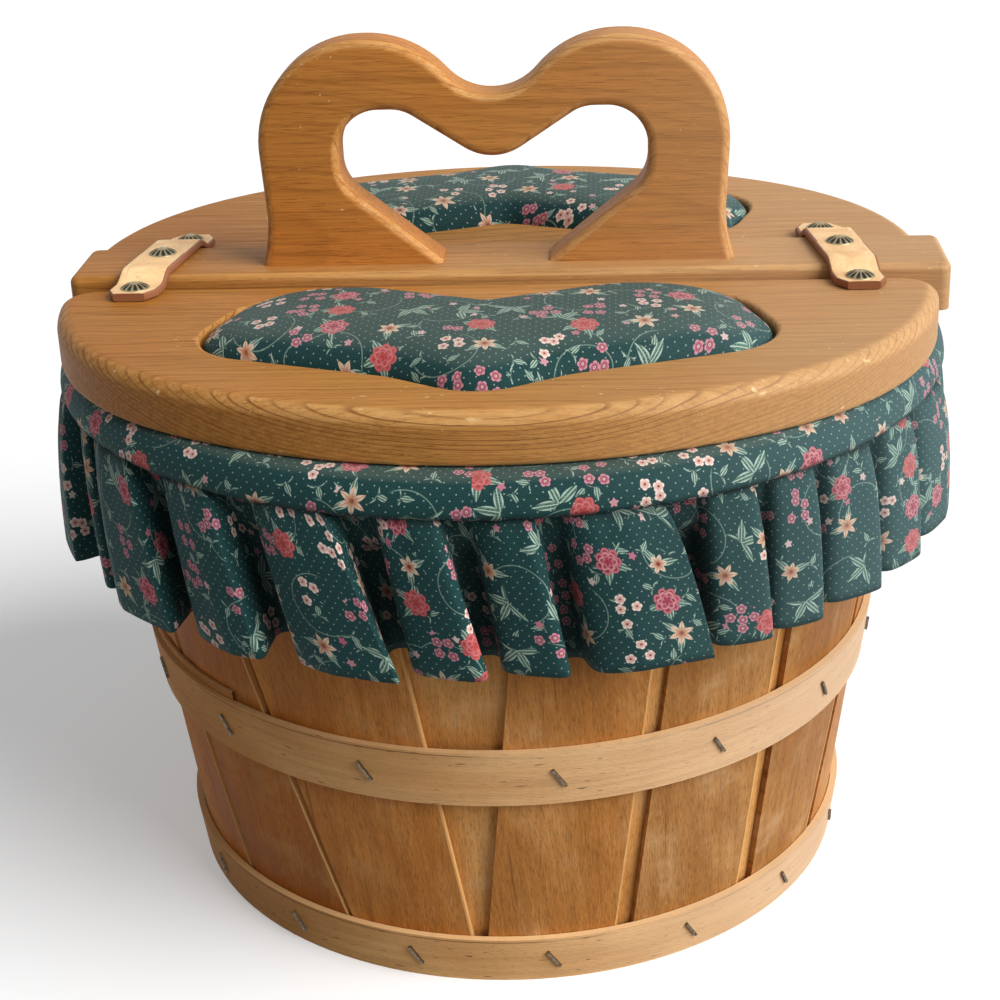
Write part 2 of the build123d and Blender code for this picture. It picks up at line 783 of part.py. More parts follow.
def make_parts():
    """All the pieces by name."""
    through_rim = block_screws(hole_play)
    parts = {}
    for k, one in enumerate(outer_staves(), start=1):
        parts[f"stave_{k:02d}"] = drilled(one, through_rim)
    parts["inner_staves"] = [drilled(one, through_rim) for one in inner_staves()]
    parts["bottom_board"] = bottom_board()
    parts["bottom_inner_hoop"] = shell(
        stave_start, stave_start + bottom_inner_height, inner_hoop_inset, bottom_inner_thickness
    )
    parts["bottom_hoop"] = shell(0, bottom_hoop_height, hoop_inset - hoop_thickness, hoop_thickness)
    parts["middle_hoop"] = shell(
        middle_hoop_low, middle_hoop_low + middle_hoop_height, hoop_inset - hoop_thickness, hoop_thickness
    )
    rim_hoop = shell(rim_hoop_low, basket_height, rim_hoop_face, rim_hoop_thickness)
    parts["rim_hoop"] = drilled(rim_hoop, through_rim)
    rim_inner = shell(rim_hoop_low, basket_height, inner_hoop_inset, rim_inner_thickness)
    parts["rim_inner_hoop"] = drilled(rim_inner, through_rim)
    hoop_face = hoop_inset - hoop_thickness
    middle = middle_hoop_low + middle_hoop_height / 2
    rim_middle = (rim_hoop_low + basket_height) / 2
    depth = hoop_thickness + play + staple_bite
    rim_depth = rim_hoop_thickness + play + staple_bite
    parts["bottom_staples"] = hoop_staples(bottom_hoop_height / 2, hoop_face, depth)
    parts["middle_staples"] = hoop_staples(middle, hoop_face, depth)
    parts["rim_staples"] = hoop_staples(rim_middle, rim_hoop_face + staple_wire, rim_depth)
    parts["liner_bag"] = drilled(liner_bag(), through_rim)
    parts["liner_band"] = liner_band()
    parts["rim_elastic"] = rim_elastic()
    parts["ruffle"] = ruffle()
    parts["block_left"] = block(-1)
    parts["block_right"] = block(1)
    parts["block_screws"] = block_screws()
    bar_holes = bar_screws(hole_play) + handle_screws(hole_play) + tack_holes(0)
    parts["bar"] = drilled(bar(), bar_holes)
    parts["bar_screws"] = bar_screws()
    parts["handle"] = drilled(handle(), handle_screws(hole_play))
    parts["handle_screws"] = handle_screws()
    parts["back_flap"] = drilled(flap(), tack_holes(tack_spacing))
    parts["front_flap"] = drilled(to_front(flap()), tack_holes(-tack_spacing))
    back = {
        "cushion_cover": cushion_cover(),
        "cushion_pad": cushion_pad(),
        "cushion_board": cushion_board(),
    }
    for name, shape in back.items():
        parts[f"back_{name}"] = shape
        parts[f"front_{name}"] = to_front(shape)
    parts["back_board_screws"] = small_screws()
    parts["front_board_screws"] = [to_front(one) for one in small_screws()]
    strap_holes = tack_holes(-tack_spacing) + tack_holes(0) + tack_holes(tack_spacing)
    parts["strap_left"] = drilled(strap(-1), strap_holes)
    parts["strap_right"] = drilled(strap(1), strap_holes)
    flap_seat = strap_seat(tack_spacing) + strap_thickness
    parts["bar_tacks"] = tacks(0, strap_seat(0) + strap_thickness)
    parts["front_tacks"] = tacks(-tack_spacing, flap_seat)
    parts["back_tacks"] = tacks(tack_spacing, flap_seat)
    return parts


os.makedirs("parts", exist_ok=True)
for name, shape in make_parts().items():
    if isinstance(shape, list):
        shape = Compound(children=[s.solid() for s in shape])
    export_step(shape, f"parts/{name}.step")
print("wrote", len(os.listdir("parts")), "parts")
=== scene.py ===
# %% [markdown]
# A slatted basket with a two-flap lid, a heart-cut handle and a gathered cloth rim.
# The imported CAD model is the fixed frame: boards, staves and hoops keep their own solids and get
# new finishes, and whatever is soft or worn is built again here as a finer piece in the same place.
# %% Load the frame
import math

import bmesh
import bpy
import numpy as np
from mathutils import Matrix, Vector


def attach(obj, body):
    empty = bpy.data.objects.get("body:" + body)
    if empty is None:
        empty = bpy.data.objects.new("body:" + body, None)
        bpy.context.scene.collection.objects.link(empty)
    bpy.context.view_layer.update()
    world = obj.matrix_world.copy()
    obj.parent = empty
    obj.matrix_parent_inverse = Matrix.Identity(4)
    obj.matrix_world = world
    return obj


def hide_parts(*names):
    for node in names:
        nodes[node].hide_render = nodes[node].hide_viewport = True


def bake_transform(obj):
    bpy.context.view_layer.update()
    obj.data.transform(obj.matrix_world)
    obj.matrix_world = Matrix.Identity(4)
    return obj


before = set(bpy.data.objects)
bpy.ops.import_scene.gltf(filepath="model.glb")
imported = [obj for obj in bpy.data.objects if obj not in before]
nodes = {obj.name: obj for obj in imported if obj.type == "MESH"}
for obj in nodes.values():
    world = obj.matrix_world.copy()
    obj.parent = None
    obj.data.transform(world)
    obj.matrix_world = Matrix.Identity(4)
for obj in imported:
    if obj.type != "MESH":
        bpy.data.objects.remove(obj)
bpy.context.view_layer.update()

# %% [markdown]
# The camera stands in front of the basket and looks a little down on it, as a person at a table does.
# Its place was found from the hoops, whose circles look like ellipses of a known tilt, so a lens and
# a matrix built from three angles are enough, and no target object is needed.
# %% Camera
eye = Vector((0.0500, -0.7620, 0.4768))
yaw, pitch, roll = -0.0692, 0.4151, -0.0380
forward = Vector((math.sin(yaw) * math.cos(pitch), math.cos(yaw) * math.cos(pitch), -math.sin(pitch)))
level = Vector((math.cos(yaw), -math.sin(yaw), 0))
upright = level.cross(forward)
side = math.cos(roll) * level + math.sin(roll) * upright
top = math.cos(roll) * upright - math.sin(roll) * level
camera = bpy.data.objects.new("camera", bpy.data.cameras.new("camera"))
camera.data.lens = 72
camera.data.sensor_width = 36
camera.data.clip_start = 0.05
camera.data.clip_end = 60
camera.matrix_world = Matrix.Translation(eye) @ Matrix((side, top, -forward)).transposed().to_4x4()
bpy.context.scene.collection.objects.link(camera)
bpy.context.scene.camera = camera
bpy.context.scene.view_settings.view_transform = "Standard"
print("camera looks down by", round(math.degrees(pitch), 1), "degrees")

# %% [markdown]
# A material is a small tree of nodes. Writing each node in full takes many lines, so one class keeps
# the tree and gives every kind of node a short call that returns its output.
# %% A short way to write node trees
def tone(red, green, blue):
    """A colour as it looks on a screen, 0 to 255, as the linear values that the shader takes."""
    part = np.array([red, green, blue]) / 255
    linear = np.where(part <= 0.04045, part / 12.92, ((part + 0.055) / 1.055) ** 2.4)
    return (*linear.tolist(), 1.0)


class Finish:
    """One material: its node tree, the colour laid so far, and its shader with the values that are the
    same all over."""

    def __init__(self, name, **sockets):
        self.material = bpy.data.materials.new(name)
        self.material.use_nodes = True
        self.tree = self.material.node_tree
        self.shader = self.tree.nodes["Principled BSDF"]
        for socket, value in sockets.items():
            self.shader.inputs[socket.replace("_", " ")].default_value = value

    def add(self, kind, inputs, output=0, **settings):
        made = self.tree.nodes.new("ShaderNode" + kind)
        for key, value in settings.items():
            setattr(made, key, value)
        for slot, value in inputs.items():
            if isinstance(value, bpy.types.NodeSocket):
                self.tree.links.new(value, made.inputs[slot])
            else:
                made.inputs[slot].default_value = value
        return made.outputs[output]

    def place(self):
        return self.add("TexCoord", {}, "Object")

    def facing(self):
        return self.add("TexCoord", {}, "Normal")

    def flat(self):
        return self.add("UVMap", {}, uv_map="cloth")

    def math(self, how, a, b=0.0, c=0.0):
        return self.add("Math", {0: a, 1: b, 2: c}, operation=how)

    def times(self, first, *others):
        for other in others:
            first = self.math("MULTIPLY", first, other)
        return first

    def minus(self, a, b):
        return self.math("SUBTRACT", a, b)

    def plus(self, base, part, share=1.0):
        return self.math("MULTIPLY_ADD", part, share, base)

    def abs(self, a):
        return self.math("ABSOLUTE", a)

    def between(self, value, low, high):
        """1 where a number lies from low to high."""
        return self.times(self.math("GREATER_THAN", value, low), self.math("LESS_THAN", value, high))

    def round_angle(self, x, y):
        """Angle round the basket from its front, -y, growing towards +x."""
        return self.math("ARCTAN2", x, self.times(y, -1.0))

    def vec(self, how, a, b=(0, 0, 0)):
        return self.add("VectorMath", {0: a, 1: b}, operation=how)

    def length(self, a):
        return self.add("VectorMath", {0: a}, "Value", operation="LENGTH")

    def parts(self, a):
        made = self.tree.nodes.new("ShaderNodeSeparateXYZ")
        self.tree.links.new(a, made.inputs[0])
        return made.outputs[0], made.outputs[1], made.outputs[2]

    def join(self, x, y, z=0.0):
        return self.add("CombineXYZ", {0: x, 1: y, 2: z})

    def noise(self, place, scale, detail=2.0, rough=0.5):
        """Noise on the place times a scale per direction: a small scale draws the pattern out."""
        inputs = {"Scale": 1.0, "Detail": detail, "Roughness": rough}
        return self.add("TexNoise", {"Vector": self.vec("MULTIPLY", place, scale), **inputs}, "Fac")

    def steps(self, value, low, high, most=1.0, least=0.0):
        """A soft step from least at low to most at high."""
        return self.add("MapRange", {0: value, 1: low, 2: high, 3: least, 4: most},
                        interpolation_type="SMOOTHSTEP")

    def mix(self, share, a, b, how="MIX"):
        return self.add("Mix", {0: share, 6: a, 7: b}, 2, data_type="RGBA", blend_type=how)

    def lay(self, share, colour, how="MIX"):
        """Lays a colour over what the finish has so far."""
        self.colour = self.mix(share, self.colour, colour, how)

    def give(self, socket, value):
        self.tree.links.new(value, self.shader.inputs[socket])

    def done(self, height, distance, strength=1.0):
        """Gives the shader the laid colour, and the relief of a height under it."""
        self.give("Base Color", self.colour)
        inputs = {"Height": height, "Distance": distance, "Strength": strength}
        self.give("Normal", self.add("Bump", inputs, "Normal"))
        return self


def dress(names, finish):
    """Puts a finish on CAD nodes, in place of their packed material."""
    for name in names:
        slots = nodes[name].data.materials
        slots.clear()
        slots.append(finish.material)


# %% [markdown]
# Soft and worn pieces are grids of points: rows and columns worked out at once from a formula, with a
# face in every cell. Most of them go round the basket, so their last column meets the first.
# %% Surfaces from grids
def grid_faces(mesh, grids):
    """Joins grids into one mesh; each is (points, flat map or None, meets itself across)."""

    def cell_corners(grid, axis):
        return np.stack([grid[:-1, :-1], grid[:-1, 1:], grid[1:, 1:], grid[1:, :-1]], axis)

    points, corners, cloth, start = [], [], [], 0
    for place, flat, across in grids:
        rows, columns = place.shape[:2]
        index = np.arange(rows * columns).reshape(rows, columns) + start
        if across:
            index = np.hstack([index, index[:, :1]])
        points.append(place.reshape(-1, 3))
        corners.append(cell_corners(index, -1).reshape(-1, 4))
        if flat is not None:
            cloth.append(cell_corners(flat, -2).reshape(-1, 2))
        start += rows * columns
    corners = np.concatenate(corners)
    mesh.from_pydata(np.concatenate(points).tolist(), [], corners.tolist())
    mesh.polygons.foreach_set("use_smooth", np.ones(len(corners), bool))
    if cloth:
        layer = mesh.uv_layers.new(name="cloth")
        layer.data.foreach_set("uv", np.concatenate(cloth).astype(np.float32).ravel())
    mesh.update()


def surface(name, grids, finish, sharp=None, closed=False):
    """An object whose mesh is one or more grids, in its finish. Edges sharper than sharp degrees stay
    sharp, and where closed is true the points that meet at a pole or on a doubled row become one."""
    mesh = bpy.data.meshes.new(name)
    grid_faces(mesh, grids)
    if closed:
        work = bmesh.new()
        work.from_mesh(mesh)
        bmesh.ops.remove_doubles(work, verts=work.verts, dist=1e-6)
        work.to_mesh(mesh)
        work.free()
    if sharp is not None:
        mesh.set_sharp_from_angle(angle=math.radians(sharp))
    made = bpy.data.objects.new(name, mesh)
    bpy.context.scene.collection.objects.link(made)
    made.data.materials.append(finish.material)
    print(name, "faces", len(mesh.polygons))
    return made


def stacked(*parts):
    """Numbers given per row, per column or for the whole grid, as one grid of points."""
    return np.stack(np.broadcast_arrays(*parts), -1)


def ring_points(angle, radius, height):
    """Points of a surface of revolution: (radius sin angle, -radius cos angle, height)."""
    return stacked(radius * np.sin(angle), -radius * np.cos(angle), height)


def thicken(made, thickness, offset):
    """Gives a sheet its thickness: in front of its faces for 1, behind for -1, half each way for 0."""
    wall = made.modifiers.new("cloth thickness", "SOLIDIFY")
    wall.thickness = thickness
    wall.offset = offset


# %% [markdown]
# The light is a pale room with one large soft lamp on the right, so the right side of the basket
# glows and the left falls off. The floor is white to the eye and gives back less light than a white
# floor would, which keeps the left side dark.
# %% Light and floor
def seen_directly(tree):
    """1 for rays that the eye, a mirror or glass sends, and 0 for the rest."""
    path = tree.nodes.new("ShaderNodeLightPath")
    seen = path.outputs["Is Camera Ray"]
    for ray in ("Is Glossy Ray", "Is Transmission Ray"):
        either = tree.nodes.new("ShaderNodeMath")
        either.operation = "MAXIMUM"
        tree.links.new(seen, either.inputs[0])
        tree.links.new(path.outputs[ray], either.inputs[1])
        seen = either.outputs[0]
    return seen


def grey(value):
    return value, value, value, 1


room_light, lamp_strength = 0.27, 4.08
world = bpy.data.worlds.new("room")
world.use_nodes = True
bpy.context.scene.world = world
sky = world.node_tree.nodes["Background"]
sky.inputs["Color"].default_value = (0.98, 0.99, 1.0, 1.0)
strength = world.node_tree.nodes.new("ShaderNodeMapRange")
strength.inputs["To Min"].default_value = room_light
strength.inputs["To Max"].default_value = 1.0
world.node_tree.links.new(seen_directly(world.node_tree), strength.inputs["Value"])
world.node_tree.links.new(strength.outputs[0], sky.inputs["Strength"])

lamp = bpy.data.objects.new("window", bpy.data.lights.new("window", "SUN"))
lamp.data.energy = lamp_strength
lamp.data.angle = math.radians(50)
lamp_from = Vector((0.75, -0.36, 0.59))
lamp.matrix_world = lamp_from.to_track_quat("Z", "Y").to_matrix().to_4x4()
bpy.context.scene.collection.objects.link(lamp)

paper = Finish("floor_paper", Roughness=0.9, Specular_IOR_Level=0.0, Emission_Strength=1.0)
direct = seen_directly(paper.tree)
paper.give("Base Color", paper.mix(direct, grey(0.25), grey(0.80)))
paper.give("Emission Color", paper.mix(direct, grey(0), grey(0.27)))
span = np.linspace(-14, 14, 3)
floor = surface("floor", [(stacked(span[None], span[:, None], 0.0), None, False)], paper)

# %% [markdown]
# The flaps, the bar and the handle are flat-sawn softwood boards under satin varnish. Growth rings are
# tubes about the heart of the tree, and a board cuts through them, so the true pattern comes from the
# distance to a line that runs along x outside the board. That gives fine lines on the board's side
# and broad ones on its top, and they meet over the rounded edge, which a picture of wood never does.
# %% Board finish
def paint_side_light(f, pale, share=0.45, dark=(0.80, 0.68, 0.44, 1)):
    """Painted light and shade: the side toward the lamp is laid paler, and the far side darker and
    yellower.
    """
    x = f.parts(f.place())[0]
    f.lay(f.steps(x, 0.0, -0.16), dark, "MULTIPLY")
    f.lay(f.steps(x, -0.03, 0.16, share), pale)


def darker(shade, share):
    """A share of a shader colour's light."""
    return (*(v * share for v in shade[:3]), 1)


def board_finish(name, heart, ring, tint, shade, edge_axis, seed, contrast=1.0, tilt=0.0):
    """Ring distance is the length of (y, z) from the heart, plus slow noise; a ring is pale early wood
    that ends in a thin late line. Streaks and pores are noise stretched along x, and broad faces show
    the lines less than the board's edges do."""
    f = Finish(name, Roughness=0.5, Specular_IOR_Level=0.16)
    place = f.vec("ADD", f.place(), (seed * 0.37, 0, 0))
    x, y, z = f.parts(place)
    slow = f.noise(place, (4.5, 12, 12))
    small = f.noise(place, (26, 70, 70))
    away = f.length(f.join(0.0, f.minus(y, heart[0]), f.minus(z, heart[1])))
    for part, share in ((slow, 0.012), (small, 0.0009), (x, tilt)):
        away = f.plus(away, part, share)
    count = f.math("DIVIDE", away, ring)
    phase = f.math("FRACT", count)
    strength = f.add("TexWhiteNoise", {"W": f.math("FLOOR", count)}, "Value", noise_dimensions="1D")
    broad = f.abs(f.parts(f.facing())[edge_axis])
    late = f.times(f.steps(phase, 0.66, 0.9), f.steps(phase, 1.0, 0.95),
                   f.plus(0.3 * contrast, strength, 0.7 * contrast), f.steps(broad, 0.75, 1.0, 0.45, 1.0))
    streak = f.noise(place, (16, 800, 800), 3.0, 0.62)
    fibre = f.noise(place, (110, 2800, 2800), 2.0, 0.6)
    blotch = f.noise(place, (9, 22, 22))
    warmer = tuple(np.multiply(tint, (1.06, 0.97, 0.88, 1)).tolist())
    f.colour = f.mix(f.steps(blotch, 0.3, 0.7), tint, warmer)
    f.lay(f.steps(streak, 0.35, 0.72, 0.42), shade)
    rounded = f.times(f.steps(broad, 0.10, 0.4), f.steps(broad, 0.998, 0.92))
    # rounded edges are laid paler: partly worn wood, partly a painted sheen where the satin varnish catches
    # the lamp
    wear_and_sheen = f.noise(place, (12, 380, 380), 3.0, 0.6)
    f.lay(f.times(rounded, f.steps(wear_and_sheen, 0.3, 0.66, 0.5, 0.1)), tone(228, 180, 118))
    f.lay(late, shade)
    f.lay(f.steps(fibre, 0.56, 0.68, 0.42), darker(shade, 0.4))
    # painted light and shade: paler toward the lamp on the right, darker and yellower on the left
    paint_side_light(f, tone(204, 166, 126))
    patch = f.noise(place, (34, 40, 40), 1.0)
    fleck = f.noise(place, (150, 420, 420), 3.0, 0.6)
    chips = f.times(rounded, f.steps(fleck, 0.63, 0.69), f.steps(patch, 0.40, 0.62), 0.6)
    f.lay(chips, tone(240, 206, 152))
    scuff = f.noise(place, (300, 420, 420), 2.0, 0.7)
    f.lay(f.times(f.steps(scuff, 0.68, 0.72), f.steps(patch, 0.56, 0.66), 0.7), tone(232, 204, 164))
    f.give("Roughness", f.steps(streak, 0.2, 0.8, 0.6, 0.44))
    return f.done(f.plus(f.times(fibre, 0.7), late, -0.12), 0.00018)


pine, pine_dark = tone(190, 136, 70), tone(120, 68, 22)
pale_pine, pale_dark = tone(192, 142, 84), tone(132, 86, 42)
red_pine, red_dark = tone(200, 136, 66), tone(132, 76, 28)
block_pine, block_dark = tone(178, 136, 92), tone(120, 82, 46)
for names, *values in (
        (["front_flap"], "lid_wood_front", (0.075, -0.26), 0.0016, pine, pine_dark, 2, 0.0, 0.95, 0.01),
        (["back_flap"], "lid_wood_back", (-0.09, -0.24), 0.0018, pine, pine_dark, 2, 3.1, 0.9, -0.012),
        (["bar"], "bar_wood", (0.10, 0.05), 0.0024, pale_pine, pale_dark, 2, 5.7, 0.7, 0.02),
        (["handle"], "handle_wood", (-0.16, 0.24), 0.0026, red_pine, red_dark, 1, 8.3, 0.7, 0.06),
        (["block_left", "block_right"], "block_wood", (0.08, 0.05), 0.0024, block_pine, block_dark, 2,
         1.9, 0.8)):
    dress(names, board_finish(*values))
print("boards dressed")

# %% [markdown]
# The staves are thin peeled veneer: no rings, but a fine speckle of short fibres that runs up each
# stave, rubbed pale in places and stained by old varnish. Painted shade darkens the left side, away
# from the lamp, and a painted highlight runs along each stave's right cut edge. Unrolling the basket,
# angle times radius across and height along, lets one pattern follow the cone; a seed and a tint set
# the staves apart.
# %% Stave finish
def edge_plane(node):
    """The plane of a stave's right long edge, as (point, direction), from the faces that look there."""
    faces = node.data.polygons
    centre, normal = np.zeros(len(faces) * 3), np.zeros(len(faces) * 3)
    faces.foreach_get("center", centre)
    faces.foreach_get("normal", normal)
    centre, normal = centre.reshape(-1, 3), normal.reshape(-1, 3)
    outward = centre[:, :2] / np.linalg.norm(centre[:, :2], axis=1)[:, None]
    looks_right = outward[:, 0] * normal[:, 1] - outward[:, 1] * normal[:, 0] > 0.9
    return centre[looks_right].mean(0), normal[looks_right].mean(0)


def stave_finish(name, seed, tint, shade, lean=0.0, edge=None):
    """Speckle is noise on (angle x radius, height) with the height squeezed, so that flecks stand up.
    Near its right cut edge, the side toward the lamp, a stave gets a painted highlight, placed by the
    distance to that edge's plane."""
    f = Finish(name, Roughness=0.55, Specular_IOR_Level=0.12)
    x, y, z = f.parts(f.place())
    across = f.plus(f.times(f.round_angle(x, y), 0.152), z, lean)
    sheet = f.join(across, z, seed * 0.71)
    speck = f.noise(sheet, (1500, 260, 1), 3.0, 0.65)
    grain = f.noise(sheet, (330, 22, 1), 3.0, 0.6)
    cloud = f.noise(sheet, (30, 13, 1), 4.0, 0.6)
    smear = f.noise(sheet, (45, 60, 1), 3.0, 0.6)
    crack = f.noise(sheet, (420, 9, 1), 1.0)
    f.colour = f.mix(f.steps(cloud, 0.34, 0.66), shade, tint)
    f.lay(f.steps(grain, 0.3, 0.72, 0.45), darker(shade, 0.6))
    f.lay(f.steps(speck, 0.5, 0.68, 0.5), darker(shade, 0.36))
    f.lay(f.steps(speck, 0.42, 0.3, 0.2), tone(232, 188, 132))
    f.lay(f.steps(crack, 0.72, 0.77, 0.55), darker(shade, 0.3))
    f.lay(f.times(f.steps(smear, 0.46, 0.74), f.steps(cloud, 0.4, 0.6), 0.3), tone(226, 190, 144))
    # painted shade: the left side, away from the lamp, is darkened and yellowed
    f.lay(f.steps(x, 0.0, -0.15), (0.90, 0.72, 0.34, 1), "MULTIPLY")
    # painted highlight along the right cut edge, where the lamp catches it
    if edge is not None:
        point, normal = edge
        way = f.vec("SUBTRACT", f.place(), tuple(point))
        away = f.add("VectorMath", {0: way, 1: tuple(normal)}, "Value", operation="DOT_PRODUCT")
        away = f.plus(f.abs(away), grain, -0.0012)
        f.lay(f.steps(away, 0.0002, -0.0001, 0.7), tone(240, 188, 120))
    f.give("Roughness", f.steps(cloud, 0.2, 0.8, 0.6, 0.42))
    return f.done(f.plus(speck, grain, 0.8), 0.00025)


def turned_tint(base, warm, light):
    """The base colour made warmer or lighter by small steps."""
    red, green, blue = base
    green, blue = green * (1 - 0.05 * warm), blue * (1 - 0.16 * warm)
    return tone(min(255, red * light), min(255, green * light), blue * light)


chance = np.random.default_rng(7)
# Staves 14 to 16 stand on the left, away from the lamp: their added warmth, and the lower light of 15 and
# 16, are painted shade.
stave_light = {3: 0.86, 4: 0.86, 15: 0.96, 16: 0.96}
for number in range(1, 17):
    stave = f"stave_{number:02d}"
    warm = float(chance.uniform(-0.6, 0.9)) + (1.2 if number in (14, 15, 16) else 0)
    light = float(chance.uniform(0.95, 1.04)) * stave_light.get(number, 1.0)
    tint, shade = (turned_tint(base, warm, light) for base in ((212, 148, 82), (184, 118, 54)))
    lean = float(chance.uniform(-0.12, 0.12))
    edge = edge_plane(nodes[stave])
    dress([stave], stave_finish(f"stave_veneer_{number:02d}", number, tint, shade, lean, edge))
dress(["inner_staves"], stave_finish("inner_veneer", 31.0, tone(230, 170, 102), tone(202, 138, 70)))
print("staves dressed: 16 and the inner ring")

# %% [markdown]
# The hoops are bent strips of paler veneer, with the grain running round the basket. The same unrolled
# sheet serves, with the noise stretched along the angle in place of the height. Faces that look up get
# a painted highlight, and the left side, away from the lamp, painted shade.
# %% Hoop finish
def hoop_finish(name, seed, tint, shade, top=None):
    """Grain is noise on (angle x radius, height) with the angle squeezed; faces that look up get a painted
    highlight, and where top is given a broken dark glue line runs 0.9 mm below that height."""
    f = Finish(name, Roughness=0.55, Specular_IOR_Level=0.12)
    x, y, z = f.parts(f.place())
    sheet = f.join(f.times(f.round_angle(x, y), 0.15), z, seed)
    speck = f.noise(sheet, (240, 1700, 1), 3.0, 0.65)
    grain = f.noise(sheet, (14, 420, 1), 3.0, 0.6)
    cloud = f.noise(sheet, (16, 40, 1), 3.0)
    dash = f.noise(sheet, (130, 900, 1), 1.0)
    f.colour = f.mix(f.steps(cloud, 0.3, 0.7), shade, tint)
    f.lay(f.steps(grain, 0.35, 0.75, 0.4), darker(shade, 0.62))
    f.lay(f.steps(speck, 0.52, 0.7, 0.35), darker(shade, 0.4))
    f.lay(f.steps(dash, 0.70, 0.74, 0.8), tone(84, 54, 34))
    if top is not None:
        height = f.plus(z, cloud, 0.0007)
        off_line = f.abs(f.minus(height, top - 0.0009))
        glue = f.times(f.steps(off_line, 0.00034, 0.00012), f.steps(cloud, 0.62, 0.5), 0.75)
        f.lay(glue, tone(106, 62, 30))
    # painted light and shade: paler toward the lamp on the right, darker and yellower on the left
    paint_side_light(f, tone(208, 184, 160), 0.6, (0.62, 0.44, 0.17, 1))
    # painted highlight: faces that look up are laid paler, as light from above makes them
    f.lay(f.times(f.steps(f.parts(f.facing())[2], 0.35, 0.8), 0.5), tone(238, 204, 152))
    return f.done(f.plus(speck, grain, 0.7), 0.00022)


def top_of(name):
    return max(corner[2] for corner in nodes[name].bound_box)


rim_veneer = hoop_finish("hoop_veneer", 2.0, tone(238, 186, 128), tone(218, 160, 100))
middle_veneer = hoop_finish("hoop_veneer_middle", 2.0, tone(242, 192, 134), tone(224, 168, 108),
                            top_of("middle_hoop"))
low_veneer = hoop_finish("hoop_veneer_low", 5.0, tone(242, 190, 128), tone(222, 166, 104),
                         top_of("bottom_hoop"))
dress(["rim_hoop", "rim_inner_hoop"], rim_veneer)
dress(["middle_hoop"], middle_veneer)
dress(["bottom_hoop", "bottom_inner_hoop"], low_veneer)

flare = 0.126


def stave_face(height):
    """Radius of the staves' outer face, which grows evenly with height."""
    return 0.1344 + flare * height


def make_lap_strip():
    """The tail of a veneer strip that shows above the middle hoop at the left: a bar of 4 corners, 1.1 mm
    thick, carried round the staves. Its height falls evenly to its cut end."""
    low, rows = 0.1076, 64
    angle = np.radians(np.linspace(-104, -41, rows))[:, None]
    share = np.linspace(0, 1, rows)[:, None]
    tall = 0.0082 - 0.0030 * share - 0.0005 * np.sin(share * 9)
    corner_out = np.array([[0.0002, 0.0013, 0.0013, 0.0002]])
    corner_up = np.array([[0.0, 0.0, 1.0, 1.0]])
    height = low + tall * corner_up
    place = ring_points(angle, stave_face(height) + corner_out, height)
    ends = [np.repeat(place[at : at + 1].mean(1, keepdims=True), 4, axis=1) for at in (0, -1)]
    place = np.concatenate([ends[0], place, ends[1]])
    veneer = hoop_finish("hoop_veneer_lap", 9.0, tone(222, 166, 106), tone(196, 136, 78), low + 0.0050)
    strip = surface("lap_strip", [(place, None, True)], veneer, 40, True)
    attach(strip, "basket")


def plywood_finish():
    """Plies are bands of 1.2 mm of height, light and dark in turn, on the edge; the faces are plain."""
    f = Finish("plywood", Roughness=0.6)
    place = f.place()
    z = f.parts(place)[2]
    ply = f.steps(f.math("PINGPONG", z, 0.0012), 0.0004, 0.0008)
    edge = f.steps(f.abs(f.parts(f.facing())[2]), 0.5, 0.2)
    grain = f.noise(place, (20, 500, 500), 3.0, 0.6)
    f.colour = f.mix(f.steps(grain, 0.3, 0.7), tone(206, 170, 120), tone(178, 138, 88))
    f.lay(f.times(ply, edge, 0.7), tone(112, 74, 44))
    return f.done(grain, 0.0002)


dress(["bottom_board", "front_cushion_board", "back_cushion_board"], plywood_finish())


def steel_finish(name, colour, dull, rough_skin=0.00006):
    """Wire or screw steel: clean metal with a dull film in patches."""
    f = Finish(name, Metallic=1.0)
    stain = f.noise(f.place(), (900, 900, 900), 3.0, 0.6)
    f.colour = f.mix(f.steps(stain, 0.4, 0.65), colour, dull)
    f.give("Roughness", f.steps(stain, 0.3, 0.7, 0.55, 0.3))
    return f.done(stain, rough_skin)


make_lap_strip()
staple_steel = steel_finish("staple_steel", tone(128, 118, 102), tone(86, 74, 60), 0.000008)
screw_steel = steel_finish("screw_steel", tone(186, 184, 178), tone(120, 112, 98))
dress(["bottom_staples", "middle_staples", "rim_staples"], staple_steel)
dress(["block_screws", "bar_screws", "handle_screws", "front_board_screws", "back_board_screws"],
      screw_steel)
print("hoops, boards and metal dressed")

# %% [markdown]
# The cloth is a dark green cotton with pin dots and a small scattered garden print. A print repeats
# on the flat cloth, not in space, so it reads the cloth's own flat map in millimetres. Voronoi cells
# scatter the motifs: each cell has a middle and a few random numbers, and inside it a flower is drawn
# from plain formulas in the distance and angle from that middle.
# %% Cloth print
def sites(f, flat, pitch, spread, shift=(0, 0, 0), turn=1):
    """Scattered motif places. Gives the way in mm from the nearest cell's middle, the angle there turned
    by one of the cell's random numbers, those three numbers, and the middle itself."""
    scaled = f.vec("ADD", f.vec("MULTIPLY", flat, (1 / pitch, 1 / pitch, 0)), shift)
    inputs = {"Vector": scaled, "Scale": 1.0, "Randomness": spread}
    middle = f.add("TexVoronoi", inputs, "Position", voronoi_dimensions="2D")
    chance = f.parts(middle.node.outputs["Color"])
    way = f.vec("MULTIPLY", f.vec("SUBTRACT", scaled, middle), (pitch, pitch, 0))
    x, y, _ = f.parts(way)
    return f.length(way), f.plus(f.math("ARCTAN2", y, x), chance[turn], math.tau), chance, middle


def off_petal(f, angle, count):
    """The angle from the midline of the nearest of count petals."""
    share = f.math("FRACT", f.times(angle, count / math.tau))
    return f.times(f.minus(share, 0.5), math.tau / count)


